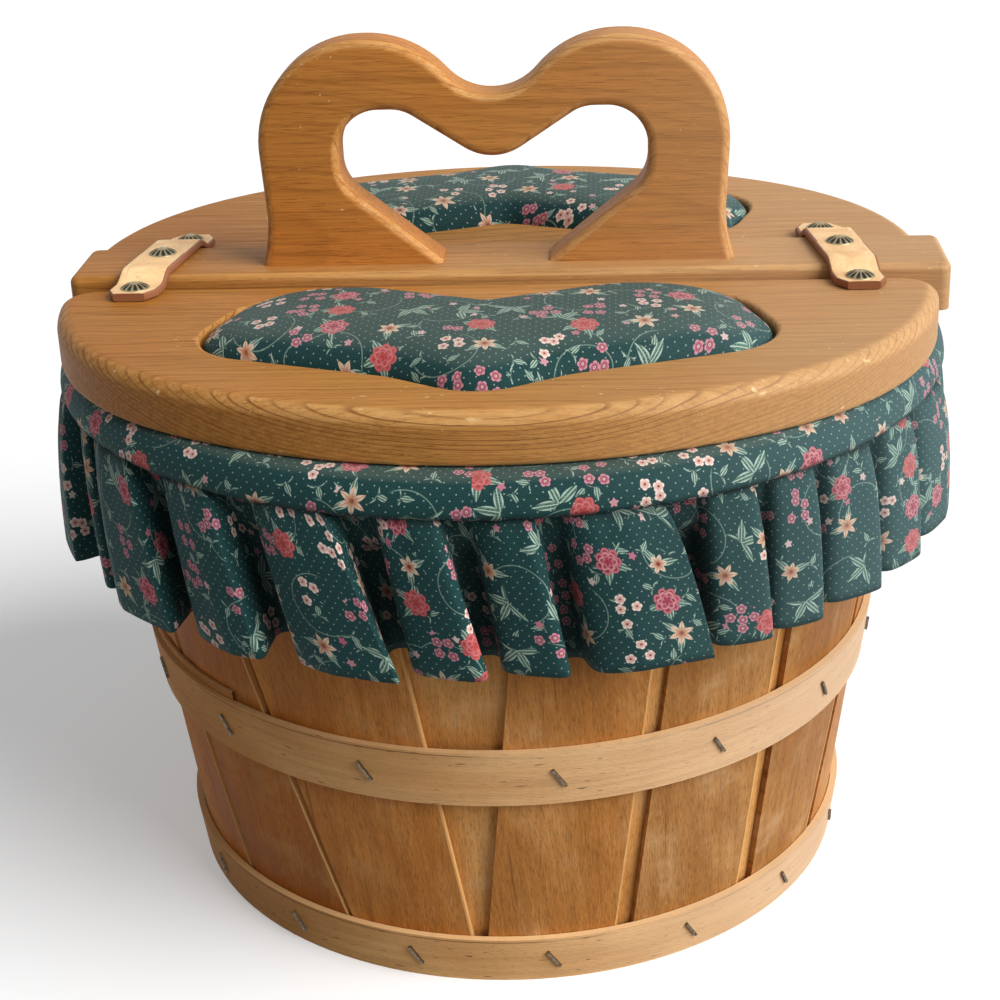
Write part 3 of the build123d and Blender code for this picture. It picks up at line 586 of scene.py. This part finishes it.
def petals(f, away, angle, count, reach, width):
    """A star of pointed petals: a point is on one if its way from the petal's midline is less than
    width x sin(pi x share of the reach). Gives the petal mask and the way from the midline."""
    aside = f.times(away, f.abs(f.math("SINE", off_petal(f, angle, count))))
    along = f.math("MINIMUM", f.math("DIVIDE", away, reach), 1.0)
    room = f.times(f.math("SINE", f.times(f.math("POWER", along, 0.85), math.pi)), width)
    return f.steps(f.minus(room, aside), 0.0, 0.25), aside


def lobes(f, away, angle, count, middle, reach):
    """A ring of round petals: the way from the nearest petal's middle, 1 at the petal's edge."""
    off = off_petal(f, angle, count)
    along = f.minus(f.times(away, f.math("COSINE", off)), middle)
    aside = f.times(away, f.math("SINE", off))
    return f.math("DIVIDE", f.length(f.join(along, aside, 0.0)), reach)


site_pitch, site_spread = 17.5, 0.62
rose_share, lily_share, blossom_share = 0.17, 0.42, 0.82
blossom_pitch, blossom_shift = 4.9, (0.4, 0.9, 0)
dot_pitch = 3.0
# Each piece has its own stretch of the flat map, so the print differs from piece to piece.
ruffle_start, ruffle_width, bag_start = 0.31, 0.062, 0.8


def cloth_finish():
    """Pin dots, vines, leaves, blossom clusters, lilies and roses, laid one over the other on green."""
    f = Finish("calico", Roughness=0.66, Sheen_Weight=0.02, Sheen_Roughness=0.45, Specular_IOR_Level=0.14)
    flat = f.vec("MULTIPLY", f.flat(), (1000, 1000, 0))
    wobble = f.noise(flat, (0.8, 0.8, 0))
    weave = f.noise(flat, (2.6, 2.6, 0), 2.0, 0.7)
    ground = f.mix(f.steps(weave, 0.35, 0.7), tone(14, 44, 42), tone(32, 76, 77))

    spun = f.add("VectorRotate", {"Vector": flat, "Angle": math.radians(45)}, rotation_type="Z_AXIS")
    dot_at = f.vec("FRACTION", f.vec("MULTIPLY", spun, (1 / dot_pitch, 1 / dot_pitch, 0)))
    dot_way = f.times(f.length(f.vec("SUBTRACT", dot_at, (0.5, 0.5, 0))), dot_pitch)
    f.colour = f.mix(f.steps(dot_way, 0.36, 0.12, 0.72), ground, tone(184, 204, 196))

    away, angle, _, _ = sites(f, flat, 34.0, 0.8, (3.7, 1.3, 0), 0)
    thin = f.steps(f.abs(f.minus(away, 11.5)), 0.32, 0.1)
    arc = f.steps(f.math("SINE", angle), -0.5, -0.2)
    f.lay(f.times(thin, arc, 0.55), tone(150, 176, 160))

    site_away, site_angle, site_chance, _ = sites(f, flat, site_pitch, site_spread)
    rose_here = f.math("LESS_THAN", site_chance[0], rose_share)
    lily_here = f.between(site_chance[0], rose_share, lily_share)
    sprig_here = f.math("GREATER_THAN", site_chance[0], blossom_share)

    hatch = f.noise(flat, (1.5, 1.5, 0), 2.0, 0.7)

    def lay_leaves(away, angle, count, reach, width, share, *where):
        """Pointed leaves, dark inside with hatching, and with a pale vein and outline."""
        leaf, aside = petals(f, away, angle, count, reach, width)
        body = f.mix(f.steps(hatch, 0.38, 0.62), tone(44, 78, 68), tone(112, 142, 124))
        line = f.math("MAXIMUM", f.steps(aside, 0.26, 0.1), f.steps(aside, width * 0.42, width * 0.75))
        f.lay(f.times(leaf, *where, share), f.mix(line, body, tone(190, 212, 196)))

    def facing_up(angle, low, high):
        return f.steps(f.math("SINE", angle), low, high)

    away, angle, chance, _ = sites(f, flat, 10.5, 0.9, (8.2, 5.1, 0))
    lay_leaves(away, angle, 3, 5.2, 1.15, 0.85, facing_up(f.math("ADD", angle, 0.6), -0.35, -0.2),
               f.math("LESS_THAN", chance[0], 0.5), f.steps(site_away, 5.6, 6.2))

    away, angle, chance, _ = sites(f, flat, 8.8, 0.85, (1.9, 6.4, 0))
    tiny = f.times(petals(f, away, angle, 5, 1.9, 0.7)[0], f.math("LESS_THAN", chance[0], 0.2),
                   f.steps(site_away, 5.6, 6.0))
    f.lay(tiny, f.mix(chance[2], tone(190, 104, 126), tone(226, 206, 198)))

    lay_leaves(site_away, site_angle, 5, 9.4, 1.7, 0.9, f.math("MAXIMUM", rose_here, sprig_here),
               facing_up(f.math("ADD", site_angle, site_chance[2]), -0.4, -0.25))
    lay_leaves(site_away, f.math("ADD", site_angle, 0.5), 3, 8.6, 1.45, 0.85, lily_here,
               facing_up(site_angle, -0.3, -0.1))

    away, angle, _, middle = sites(f, flat, blossom_pitch, 0.55, blossom_shift)
    home = f.vec("SUBTRACT", middle, blossom_shift)
    home = f.vec("MULTIPLY", home, (blossom_pitch, blossom_pitch, 0))
    home_away, _, home_chance, _ = sites(f, home, site_pitch, site_spread)
    cluster = f.times(f.math("LESS_THAN", home_away, 5.6),
                      f.between(home_chance[0], lily_share, blossom_share))
    bloom = lobes(f, away, angle, 5, 1.15, 0.92)
    pink = f.math("GREATER_THAN", home_chance[2], 0.5)

    def either(white, rosy):
        return f.mix(pink, tone(*white), tone(*rosy))

    blossom = f.mix(f.steps(away, 0.9, 1.9), either((226, 178, 166), (164, 84, 104)),
                    either((246, 238, 226), (216, 158, 168)))
    blossom = f.mix(f.steps(bloom, 0.72, 1.0, 0.7), blossom, either((160, 104, 100), (112, 48, 68)))
    blossom = f.mix(f.steps(away, 0.55, 0.35), blossom, either((168, 74, 60), (240, 212, 190)))
    f.lay(f.times(f.steps(bloom, 1.08, 0.98), cluster), blossom)

    lily, aside = petals(f, site_away, site_angle, 6, f.plus(4.0, site_chance[1], 1.8), 1.2)
    lily_colour = f.mix(f.steps(site_away, 0.6, 3.4), tone(186, 128, 100), tone(240, 222, 198))
    for share, shade in ((f.steps(aside, 0.3, 0.1, 0.6), (178, 106, 84)),
                         (f.steps(aside, 0.75, 1.15, 0.5), (160, 96, 72)),
                         (f.steps(site_away, 1.0, 0.6), (126, 52, 40)),
                         (f.times(site_chance[2], 0.35), (206, 146, 104))):
        lily_colour = f.mix(share, lily_colour, tone(*shade))
    f.lay(f.times(lily, lily_here), lily_colour)

    ruffled = f.plus(f.minus(site_away, 0.45), wobble, 0.9)
    warm = f.steps(site_chance[2], 0.5, 0.6)
    for count, middle, reach, spin, low, high in ((7, 3.5, 1.75, 0.0, (140, 46, 62), (206, 120, 130)),
                                                  (6, 2.3, 1.5, 0.5, (156, 54, 72), (220, 148, 154)),
                                                  (5, 1.25, 1.1, 0.2, (140, 42, 60), (208, 124, 134)),
                                                  (3, 0.5, 0.7, 0.9, (126, 26, 48), (190, 78, 96))):
        ring = lobes(f, ruffled, f.math("ADD", site_angle, spin), count, middle, reach)
        petal = f.mix(f.steps(ring, 0.25, 0.8), tone(*low), tone(*high))
        petal = f.mix(f.steps(ring, 0.84, 1.0, 0.8), petal, tone(120, 30, 50))
        petal = f.mix(f.times(warm, 0.45), petal, tone(200, 84, 66))
        f.lay(f.times(f.steps(ring, 1.06, 0.98), rose_here), petal)

    thread = f.noise(flat, (3.4, 3.4, 0), 1.0, 0.6)
    f.lay(f.steps(thread, 0.3, 0.8, 0.22), tone(14, 34, 32))
    # painted highlight: faces that look up are laid paler, standing in for light from above and sheen
    f.lay(f.steps(f.parts(f.facing())[2], 0.75, 0.97, 0.1), tone(176, 182, 164))
    x, _, height = f.parts(f.place())
    # painted light: the right side, toward the lamp, is laid paler
    f.lay(f.steps(x, 0.02, 0.17, 0.16), tone(150, 178, 180))
    # painted shade in deep folds: the tuck under the casing and the ruffle near the staves are laid dark,
    # where little light gets in
    tuck_shade = f.times(f.steps(height, 0.2055, 0.2094), f.steps(height, 0.2118, 0.2100))
    way_out = f.length(f.vec("MULTIPLY", f.place(), (1, 1, 0)))
    inside = f.times(f.steps(way_out, 0.1745, 0.1625), f.between(f.parts(f.flat())[1], 0.30, 0.38))
    f.lay(f.math("MAXIMUM", f.times(tuck_shade, 0.6), f.times(inside, 0.62)), tone(6, 18, 18))
    return f.done(f.plus(weave, thread, 0.5), 0.00022, 0.8)


calico = cloth_finish()
print("cloth print nodes:", len(calico.tree.nodes))

# %% [markdown]
# The casing is a band of the same cloth sewn round the rim over an elastic. The elastic pulls it
# into a rounded band whose foot tucks in behind. It is a profile carried once round the basket, with
# small puckers at the foot that fade towards the top.
# %% Casing
def around(steps_round):
    """Angles from the front, -y, growing towards +x."""
    return np.arange(steps_round) * math.tau / steps_round


def flat_map(length, columns, rows):
    """The flat map of a strip: its length shared by the columns, and a value for each row."""
    return stacked(np.linspace(0, length, columns + 1)[None], rows[:, None])


def wander(angle, low, high, seed):
    """A smooth random wave round the basket: a sum of cosines of whole numbers of waves, seeded."""
    rng = np.random.default_rng(seed)
    counts = np.arange(low, high)
    sizes = rng.normal(size=len(counts)) * (low / counts) ** 0.5
    phases = rng.uniform(0, math.tau, len(counts))
    wave = (sizes[:, None] * np.cos(counts[:, None] * angle[None] + phases[:, None])).sum(0)
    return wave / np.abs(wave).max()


casing_profile = np.array([(0.1570, 0.2224), (0.1590, 0.2226), (0.1625, 0.2228), (0.1655, 0.2227),
                           (0.1680, 0.2222), (0.1702, 0.2210), (0.1721, 0.2190), (0.1735, 0.2164),
                           (0.1743, 0.2138), (0.1745, 0.2118), (0.1741, 0.2102), (0.1730, 0.2093),
                           (0.1716, 0.2092), (0.1704, 0.2098)])


def smooth_line(points, count):
    """A line through the points, evenly spaced by its length, with cubic steps between them."""
    gaps = np.linalg.norm(np.diff(points, axis=0), axis=1)
    at = np.concatenate([[0], np.cumsum(gaps)])
    slope = np.gradient(points, at, axis=0)
    want = np.linspace(0, at[-1], count)
    low = np.clip(np.searchsorted(at, want, side="right") - 1, 0, len(at) - 2)
    width = (at[low + 1] - at[low])[:, None]
    t = ((want - at[low]) / width[:, 0])[:, None]
    start, end = points[low], points[low + 1]
    bend = (2 * t**3 - 3 * t**2 + 1) * start + (t**3 - 2 * t**2 + t) * width * slope[low]
    return bend + (3 * t**2 - 2 * t**3) * end + (t**3 - t**2) * width * slope[low + 1], at[-1]


casing_length = math.tau * 0.174


def make_casing():
    """Radius and height come from the profile; puckers push the lower half in and out by under 1 mm."""
    turns, levels = 640, 40
    pucker_top, pucker_fade = 0.2165, 0.007
    line, width = smooth_line(casing_profile, levels)
    angle = around(turns)
    radius, height = line[:, :1], line[:, 1:]
    low = np.clip((pucker_top - height) / pucker_fade, 0, 1) ** 2
    pucker = 0.00042 * wander(angle, 60, 150, 3) + 0.0003 * wander(angle, 8, 30, 4)
    place = ring_points(angle, radius + low * pucker, height + low * 0.0004 * wander(angle, 40, 110, 5))
    cloth = flat_map(casing_length, turns, np.linspace(width, 0, levels))
    made = surface("cloth_casing", [(place[::-1], cloth[::-1], True)], calico)
    thicken(made, 0.0006, -1)
    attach(made, "basket")
    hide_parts("liner_band")


make_casing()

# %% [markdown]
# The ruffle is a straight strip, much longer than the rim, gathered under the casing. Seen from above,
# its direction swings from side to side as it goes: a nearly flat panel, a sharp turn, a wall back
# under it, a narrow valley and a wall out again. Adding up that direction gives the fold line of the
# hem, and towards the heading the folds close up under the band.
# %% Ruffle
def fold_line(folds, samples, seed):
    """The sum of the direction's cosine runs round the rim and the sum of its sine stands out from it.
    Folds differ in width and in how far they turn, from a seed. Gives the angle run through, the way
    out as a share of the radius, the share of the strip's length, and that length over the radius."""
    rng = np.random.default_rng(seed)
    width = rng.uniform(0.55, 1.45, folds)
    depth = rng.uniform(0.80, 1.12, folds)
    ends = np.concatenate([[0], np.cumsum(width)]) / width.sum()
    at = (np.arange(samples) + 0.5) / samples
    which = np.clip(np.searchsorted(ends, at, side="right") - 1, 0, folds - 1)
    phase = (at - ends[which]) / (ends[which + 1] - ends[which])
    turns = np.radians([84, 66, 30, 16, 12, 4, -70, -112, -114, -80, -20, 0, 50, 90, 84])
    marks = [0, 0.04, 0.09, 0.16, 0.38, 0.44, 0.485, 0.52, 0.68, 0.72, 0.765, 0.83, 0.87, 0.91, 1]

    def eased(values):
        return np.interp(at, (ends[:-1] + ends[1:]) / 2, values, period=1)

    direction = eased(depth) * np.interp(phase, marks, turns)
    soften = np.hanning(11)
    looped = np.concatenate([direction[-5:], direction, direction[:5]])
    direction = np.convolve(looped, soften / soften.sum(), "valid")
    along = np.cumsum(np.cos(direction))
    out = np.cumsum(np.sin(direction))
    out = out - np.interp(at, ends, np.interp(ends, at, out))
    means = np.array([out[which == k].mean() for k in range(folds)])
    scale = math.tau / along[-1]
    return along * scale, (out - eased(means)) * scale, at, samples * scale


def make_ruffle():
    """At each height the fold line is drawn in by a share that grows to 1 at the hem, and all folds
    lean one way, as pleats pressed under a lid do. Folds that would reach into the wood lie on it."""
    folds, samples, levels = 29, 2320, 19
    mean_radius, heading_radius = 0.1715, 0.1700
    heading, hem_low = 0.2102, 0.1512
    deepest, furthest = -0.0165, 0.0088
    along, out, at, length = fold_line(folds, samples, 12)
    length = length * mean_radius
    even = at * math.tau
    down = np.linspace(0, 1, levels)[:, None]
    spread = 0.34 + 0.66 * down**0.6
    lifted = 0.36 + 0.64 * np.sin(down * math.pi / 2) ** 0.7
    lean = np.interp(np.degrees(even), [0, 20, 60, 100, 180, 270, 300, 340, 360],
                     [0.045, 0.015, -0.010, -0.010, 0.020, 0.030, 0.050, 0.070, 0.045])
    angle = even + (along - even) * spread + lean * down**1.1 + down * 0.008 * wander(even, 20, 50, 21)
    swell = heading_radius + 0.0014 * np.clip(down / 0.3, 0, 1) ** 0.6
    reach = np.clip(out * mean_radius, deepest, furthest) * lifted
    gathers = 0.0009 * (1 - down) ** 3 * wander(even, 70, 150, 24)
    radius = swell + reach + gathers + 0.0012 * down * wander(even, 5, 19, 22)
    hem = hem_low + 0.0016 * (1 + wander(even, 9, 40, 23))
    height = heading + (hem - heading) * down
    wood_gap, rim_hoop_out, contact = 0.0016, 0.0052, 0.0008
    wood = stave_face(height) + wood_gap + rim_hoop_out * np.clip((height - 0.1925) / 0.004, 0, 1)
    radius = wood + contact * np.logaddexp(0, (radius - wood) / contact)
    place = ring_points(angle, radius, height)
    cloth = flat_map(length, samples, (1 - down[:, 0]) * ruffle_width + ruffle_start)
    made = surface("cloth_ruffle", [(place[::-1], cloth[::-1], True)], calico)
    thicken(made, 0.0005, 0)
    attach(made, "basket")
    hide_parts("ruffle")
    print("ruffle strip", round(length, 3), "m long, radius", np.round([radius.min(), radius.max()], 4))


make_ruffle()

# %% [markdown]
# Inside, a bag of the same cloth hangs from the rim and lies on the bottom board. Loose cloth hangs
# in shallow upright waves, which grow down the wall and end at the foot.
# %% Liner bag
def make_bag():
    """A cone of cloth with a rounded foot and a flat bottom; waves of up to 2 mm go only inwards."""
    turns, levels, mouth_levels = 360, 44, 24
    hang_from, wave_depth, foot_level = 0.19, 0.0022, 0.02
    height = np.array([0.2200, 0.2120, 0.2040, 0.1960, 0.1880, 0.1650, 0.1400, 0.1120, 0.0840, 0.0560,
                       0.0330, 0.0245])
    slack = 0.0006 * np.clip((hang_from - height) / 0.1, 0, 1)
    wall = np.stack([0.1253 + flare * height - slack, height], -1)
    mouth = np.array([(0.1664, 0.2215), (0.1640, 0.2216), (0.1600, 0.2217), (0.1560, 0.2217),
                      (0.1542, 0.2215), (0.1534, 0.2207)])
    foot = np.array([(0.1268, 0.0211), (0.1245, 0.0199), (0.1210, 0.0196), (0.1160, 0.0196),
                     (0.1080, 0.0196), (0.0850, 0.0196), (0.0450, 0.0196), (0.0, 0.0196)])
    line, tall = smooth_line(np.concatenate([wall, foot]), levels)
    over_rim, wide = smooth_line(np.concatenate([mouth, wall[:1]]), mouth_levels)
    line = np.concatenate([over_rim[:-1], line])
    down = np.linspace(tall + wide, tall, mouth_levels)[:-1]
    down = np.concatenate([down, np.linspace(tall, 0, levels)])
    angle = around(turns)
    radius, height = line[:, :1], line[:, 1:]
    free = np.clip((hang_from - height) / 0.12, 0, 1) * np.clip((height - foot_level) / 0.02, 0, 1)
    wave = 0.5 - 0.5 * wander(angle, 9, 26, 31)
    place = ring_points(angle, radius - wave_depth * free * wave, height)
    cloth = flat_map(math.tau * 0.145, turns, down + bag_start)
    made = surface("cloth_bag", [(place, cloth, True)], calico, closed=True)
    thicken(made, 0.0004, 1)
    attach(made, "basket")
    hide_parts("liner_bag")


make_bag()

# %% [markdown]
# Each flap holds a cushion pushed up through a heart-shaped opening: foam under tight cloth. The
# opening's outline is a rounded polygon; the cushion is that outline drawn in towards its middle while
# it rises, so it is crowned on top, straight-sided in the opening, and flat on its board.
# %% Cushions
heart_corners = [(0, 62.0, 14), (62.0, 37.5, 36), (91.0, 36.5, 28), (110.5, 96.0, 26), (31, 124.0, 26),
                 (0, 143.5, 24), (-31, 124.0, 26), (-110.5, 96.0, 26), (-91.0, 36.5, 28), (-62.0, 37.5, 36)]


def unit(way):
    return way / np.linalg.norm(way, axis=-1, keepdims=True)


def rounded_outline(corners, count):
    """A polygon with an arc of its own radius in each corner, as evenly spaced points."""
    spots = np.array([c[:2] for c in corners], float)
    pieces = []
    for k, here in enumerate(spots):
        radius = corners[k][2]
        before = unit(spots[k - 1] - here)
        after = unit(spots[(k + 1) % len(corners)] - here)
        half = math.acos(float(np.clip(before @ after, -1, 1))) / 2
        centre = here + unit(before + after) * radius / math.sin(half)
        start = here + before * radius / math.tan(half) - centre
        end = here + after * radius / math.tan(half) - centre
        first = math.atan2(start[1], start[0])
        turn = (math.atan2(end[1], end[0]) - first + math.pi) % math.tau - math.pi
        sweep = first + np.linspace(0, 1, 40) * turn
        pieces.append(centre + radius * np.stack([np.cos(sweep), np.sin(sweep)], -1))
    ring = np.concatenate(pieces)
    ring = np.vstack([ring, ring[:1]])
    at = np.concatenate([[0], np.cumsum(np.linalg.norm(np.diff(ring, axis=0), axis=1))])
    want = np.arange(count) / count * at[-1]
    return np.stack([np.interp(want, at, ring[:, 0]), np.interp(want, at, ring[:, 1])], -1) / 1000


heart_middle = np.array([0.0, 0.0900])
crown_levels = np.array([(0.0, 1.0), (0.22, 0.985), (0.47, 0.94), (0.70, 0.85), (0.87, 0.71), (0.97, 0.5),
                         (1.0, 0.3)])
cushion_inset = 0.0006
cushion_base, cushion_peak = 0.2375, 0.2526


def make_cushion(name, sign, shift):
    """Rings of the outline: under the board line, up the opening's wall, then over the crown, whose
    height follows the levels by a smooth line; the two ends close in a point."""
    arm = rounded_outline(heart_corners, 288)[::-1] - heart_middle
    arm = arm * (1 - cushion_inset / np.linalg.norm(arm, axis=1))[:, None]
    rise = np.linspace(0, 1, 25)
    crown = smooth_line(crown_levels, 60)[0]
    skirt = [(0.0, 0.2233), (0.5, 0.2233), (0.93, 0.2233), (0.985, 0.2240), (1.0, 0.2262), (1.0, 0.2320)]
    dome = np.stack([np.interp(rise, *crown.T), cushion_base + (cushion_peak - cushion_base) * rise], -1)
    top = np.array([(0.2, 0.00006), (0.1, 0.00009), (0.0, 0.0001)]) + (0, cushion_peak)
    width, height = np.concatenate([skirt, dome, top]).T
    ring = width[:, None, None] * arm
    place = np.concatenate([(heart_middle + ring) * sign, height[:, None, None] + 0 * ring[..., :1]], -1)
    reach = np.diff(width) * 0.06
    extra = np.hypot(reach, np.diff(height)) - np.abs(reach)
    extra = np.concatenate([np.cumsum(extra[::-1])[::-1], [0]])
    cloth = ring + extra[:, None, None] * unit(arm)
    cloth = np.concatenate([cloth, cloth[:, :1]], 1) * sign + np.array(shift)
    return surface(name, [(place, cloth, True)], calico, closed=True)


for name, sign, shift, body in (("front_cushion", -1, (2.31, 1.12), "front_flap"),
                                ("back_cushion", 1, (3.74, 2.05), "back_flap")):
    cushion = make_cushion(name, sign, shift)
    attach(cushion, body)
    half = name.split("_")[0]
    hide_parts(half + "_cushion_cover", half + "_cushion_pad")

# %% [markdown]
# Two straps of thick tan leather are the hinges. They cross the bar and come down on both flaps, so
# each strap is two halves that meet under the middle tack, and each half bends between the bar and
# its flap. The section is a flat bar with soft corners, carried along the strap's line.
# %% Leather
def leather_finish():
    """Pale tan on top with fine pores; the cut sides, told by the map across the strap, are dark."""
    f = Finish("leather", Roughness=0.5, Specular_IOR_Level=0.35)
    flat = f.flat()
    skin = f.noise(flat, (900, 900, 0), 3.0, 0.65)
    cloud = f.noise(flat, (90, 120, 0), 3.0)
    f.colour = f.mix(f.steps(cloud, 0.3, 0.7), tone(255, 218, 164), tone(238, 188, 130))
    f.lay(f.steps(skin, 0.55, 0.72, 0.4), tone(176, 116, 64))
    rim = f.steps(f.abs(f.parts(flat)[1]), 0.0084, 0.0096)
    f.lay(f.times(rim, 0.9), f.mix(skin, tone(92, 38, 22), tone(150, 82, 52)))
    return f.done(skin, 0.0002)


leather = leather_finish()
strap_x, strap_splay = 0.134, math.radians(8)
strap_half, strap_thick = 0.0095, 0.0032
strap_straight, strap_tip = 0.0345, 0.0053
cut_side = 0.0098


def strap_height(along):
    """Underside of the strap: 0.3 mm above the bar, then a smooth step of 4 mm down onto the flap."""
    t = np.clip((along - 0.0185) / 0.0095, 0, 1)
    return 0.2463 - 0.0040 * t * t * (3 - 2 * t)


def strap_points(side_sign, end_sign):
    """A closed section of the strap, its end's corners cut off, on a line that splays from the bar."""
    tip = strap_tip * np.sin(np.linspace(0.1, 1.0, 10) * math.pi / 2)
    along = np.concatenate([np.linspace(0, strap_straight, 30), strap_straight + tip])[:, None]
    corner = np.clip((along - strap_straight) / strap_tip, 0, 1)
    turn = np.linspace(0, math.tau, 41)[None, :-1] + 0.01
    wide, high = np.cos(turn), np.sin(turn)
    across = (strap_half - 0.0034 * corner) * np.sign(wide) * np.abs(wide) ** 0.22
    high = np.sign(high) * np.abs(high) ** 0.28
    lean = -end_sign * along * math.sin(strap_splay)
    place = stacked(side_sign * (strap_x + lean + across), end_sign * along * math.cos(strap_splay),
                    strap_height(along) + strap_thick / 2 * (1 + high))
    cloth = stacked(along, np.where(high < 0.92, cut_side, across))
    end = place[-1:].mean(1, keepdims=True) + 0 * place[-1:]
    cut = stacked(along[-1:], cut_side + 0 * turn)
    place = np.concatenate([place, place[-1:], end])
    cloth = np.concatenate([cloth, cut, cut])
    cloth = np.concatenate([cloth, cloth[:, :1]], 1)
    if side_sign * end_sign > 0:
        place, cloth = place[:, ::-1], cloth[:, ::-1]
    return place, cloth, True


for side_name, side_sign in (("left", -1), ("right", 1)):
    for end_name, end_sign in (("front", -1), ("back", 1)):
        grid = strap_points(side_sign, end_sign)
        strap = surface(f"strap_{side_name}_{end_name}", [grid], leather, 40, True)
        if end_name == "front":
            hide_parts("strap_" + side_name)
        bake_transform(strap)

# %% [markdown]
# The tacks are domed upholstery nails stamped like a daisy, in antique bronze: dark in the grooves,
# rubbed on the ridges. The dome is a profile turned round, with its height lowered along the grooves.
# %% Tacks
def bronze_finish():
    """Dark bronze with brighter metal where the map's second value says that the ridge stands up."""
    f = Finish("antique_bronze", Metallic=0.85, Roughness=0.42)
    ridge = f.parts(f.flat())[1]
    stain = f.noise(f.flat(), (8, 5, 0), 3.0)
    f.colour = f.mix(f.steps(ridge, 0.35, 0.95), tone(46, 42, 32), tone(178, 162, 126))
    f.lay(f.steps(stain, 0.4, 0.7, 0.4), tone(64, 66, 48))
    f.give("Base Color", f.colour)
    return f


bronze = bronze_finish()


def tack_grid(x, y, foot):
    """Height is that of a flat dome, less a groove of the cosine of 12 times the angle, with a button in
    the middle."""
    radius, tall, grooves, button_edge = 0.0057, 0.0024, 12, 0.26
    share = np.concatenate([[0.0], np.linspace(0.06, 1, 18)])[:, None]
    angle = np.linspace(0, math.tau, 97)[None, :-1]
    groove = 0.5 - 0.5 * np.cos(grooves * angle)
    petal = np.sin(np.clip((share - button_edge) / 0.68, 0, 1) * math.pi) ** 0.7
    dome = (1 - share**2.4) * 0.88
    button = 0.12 * np.clip(1 - (share / button_edge) ** 2, 0, 1)
    place = stacked(x + radius * share * np.cos(angle), y + radius * share * np.sin(angle),
                    foot + tall * (dome + button - 0.22 * groove * petal))
    cloth = stacked(angle / math.tau, np.clip(1 - groove * petal - 0.25 * share, 0, 1))
    skirt = place[-1:].copy()
    skirt[..., 2] = foot - 0.0002
    place = np.concatenate([place, skirt])
    cloth = np.concatenate([cloth, cloth[-1:]])
    cloth = np.concatenate([cloth, cloth[:, :1]], 1)
    return place, cloth, True


for node_name, body, along, foot in (("bar_tacks", "basket", 0.0, 0.2495),
                                     ("front_tacks", "front_flap", -0.0325, 0.2455),
                                     ("back_tacks", "back_flap", 0.0325, 0.2455)):
    heads = []
    for side_sign in (-1, 1):
        x = side_sign * (strap_x - along * math.sin(strap_splay))
        heads.append(tack_grid(x, along * math.cos(strap_splay), foot))
    tacks = surface(node_name + "_heads", heads, bronze, closed=True)
    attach(tacks, body)
    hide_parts(node_name)

# %% [markdown]
# The elastic can't be seen in the closed casing, but it is there when the casing is opened, so it gets
# its own woven finish on the CAD ring.
# %% Elastic
def elastic_finish():
    """White ribbed braid: ribs run up the band, 1 mm apart round it."""
    f = Finish("elastic", Roughness=0.8)
    x, y, z = f.parts(f.place())
    rib = f.math("SINE", f.times(f.round_angle(x, y), 1068.0))
    row = f.math("SINE", f.times(z, 9000.0))
    f.colour = f.mix(f.steps(rib, -1, 1), tone(206, 204, 196), tone(236, 234, 228))
    return f.done(f.plus(rib, row, 0.4), 0.0001)


dress(["rim_elastic"], elastic_finish())
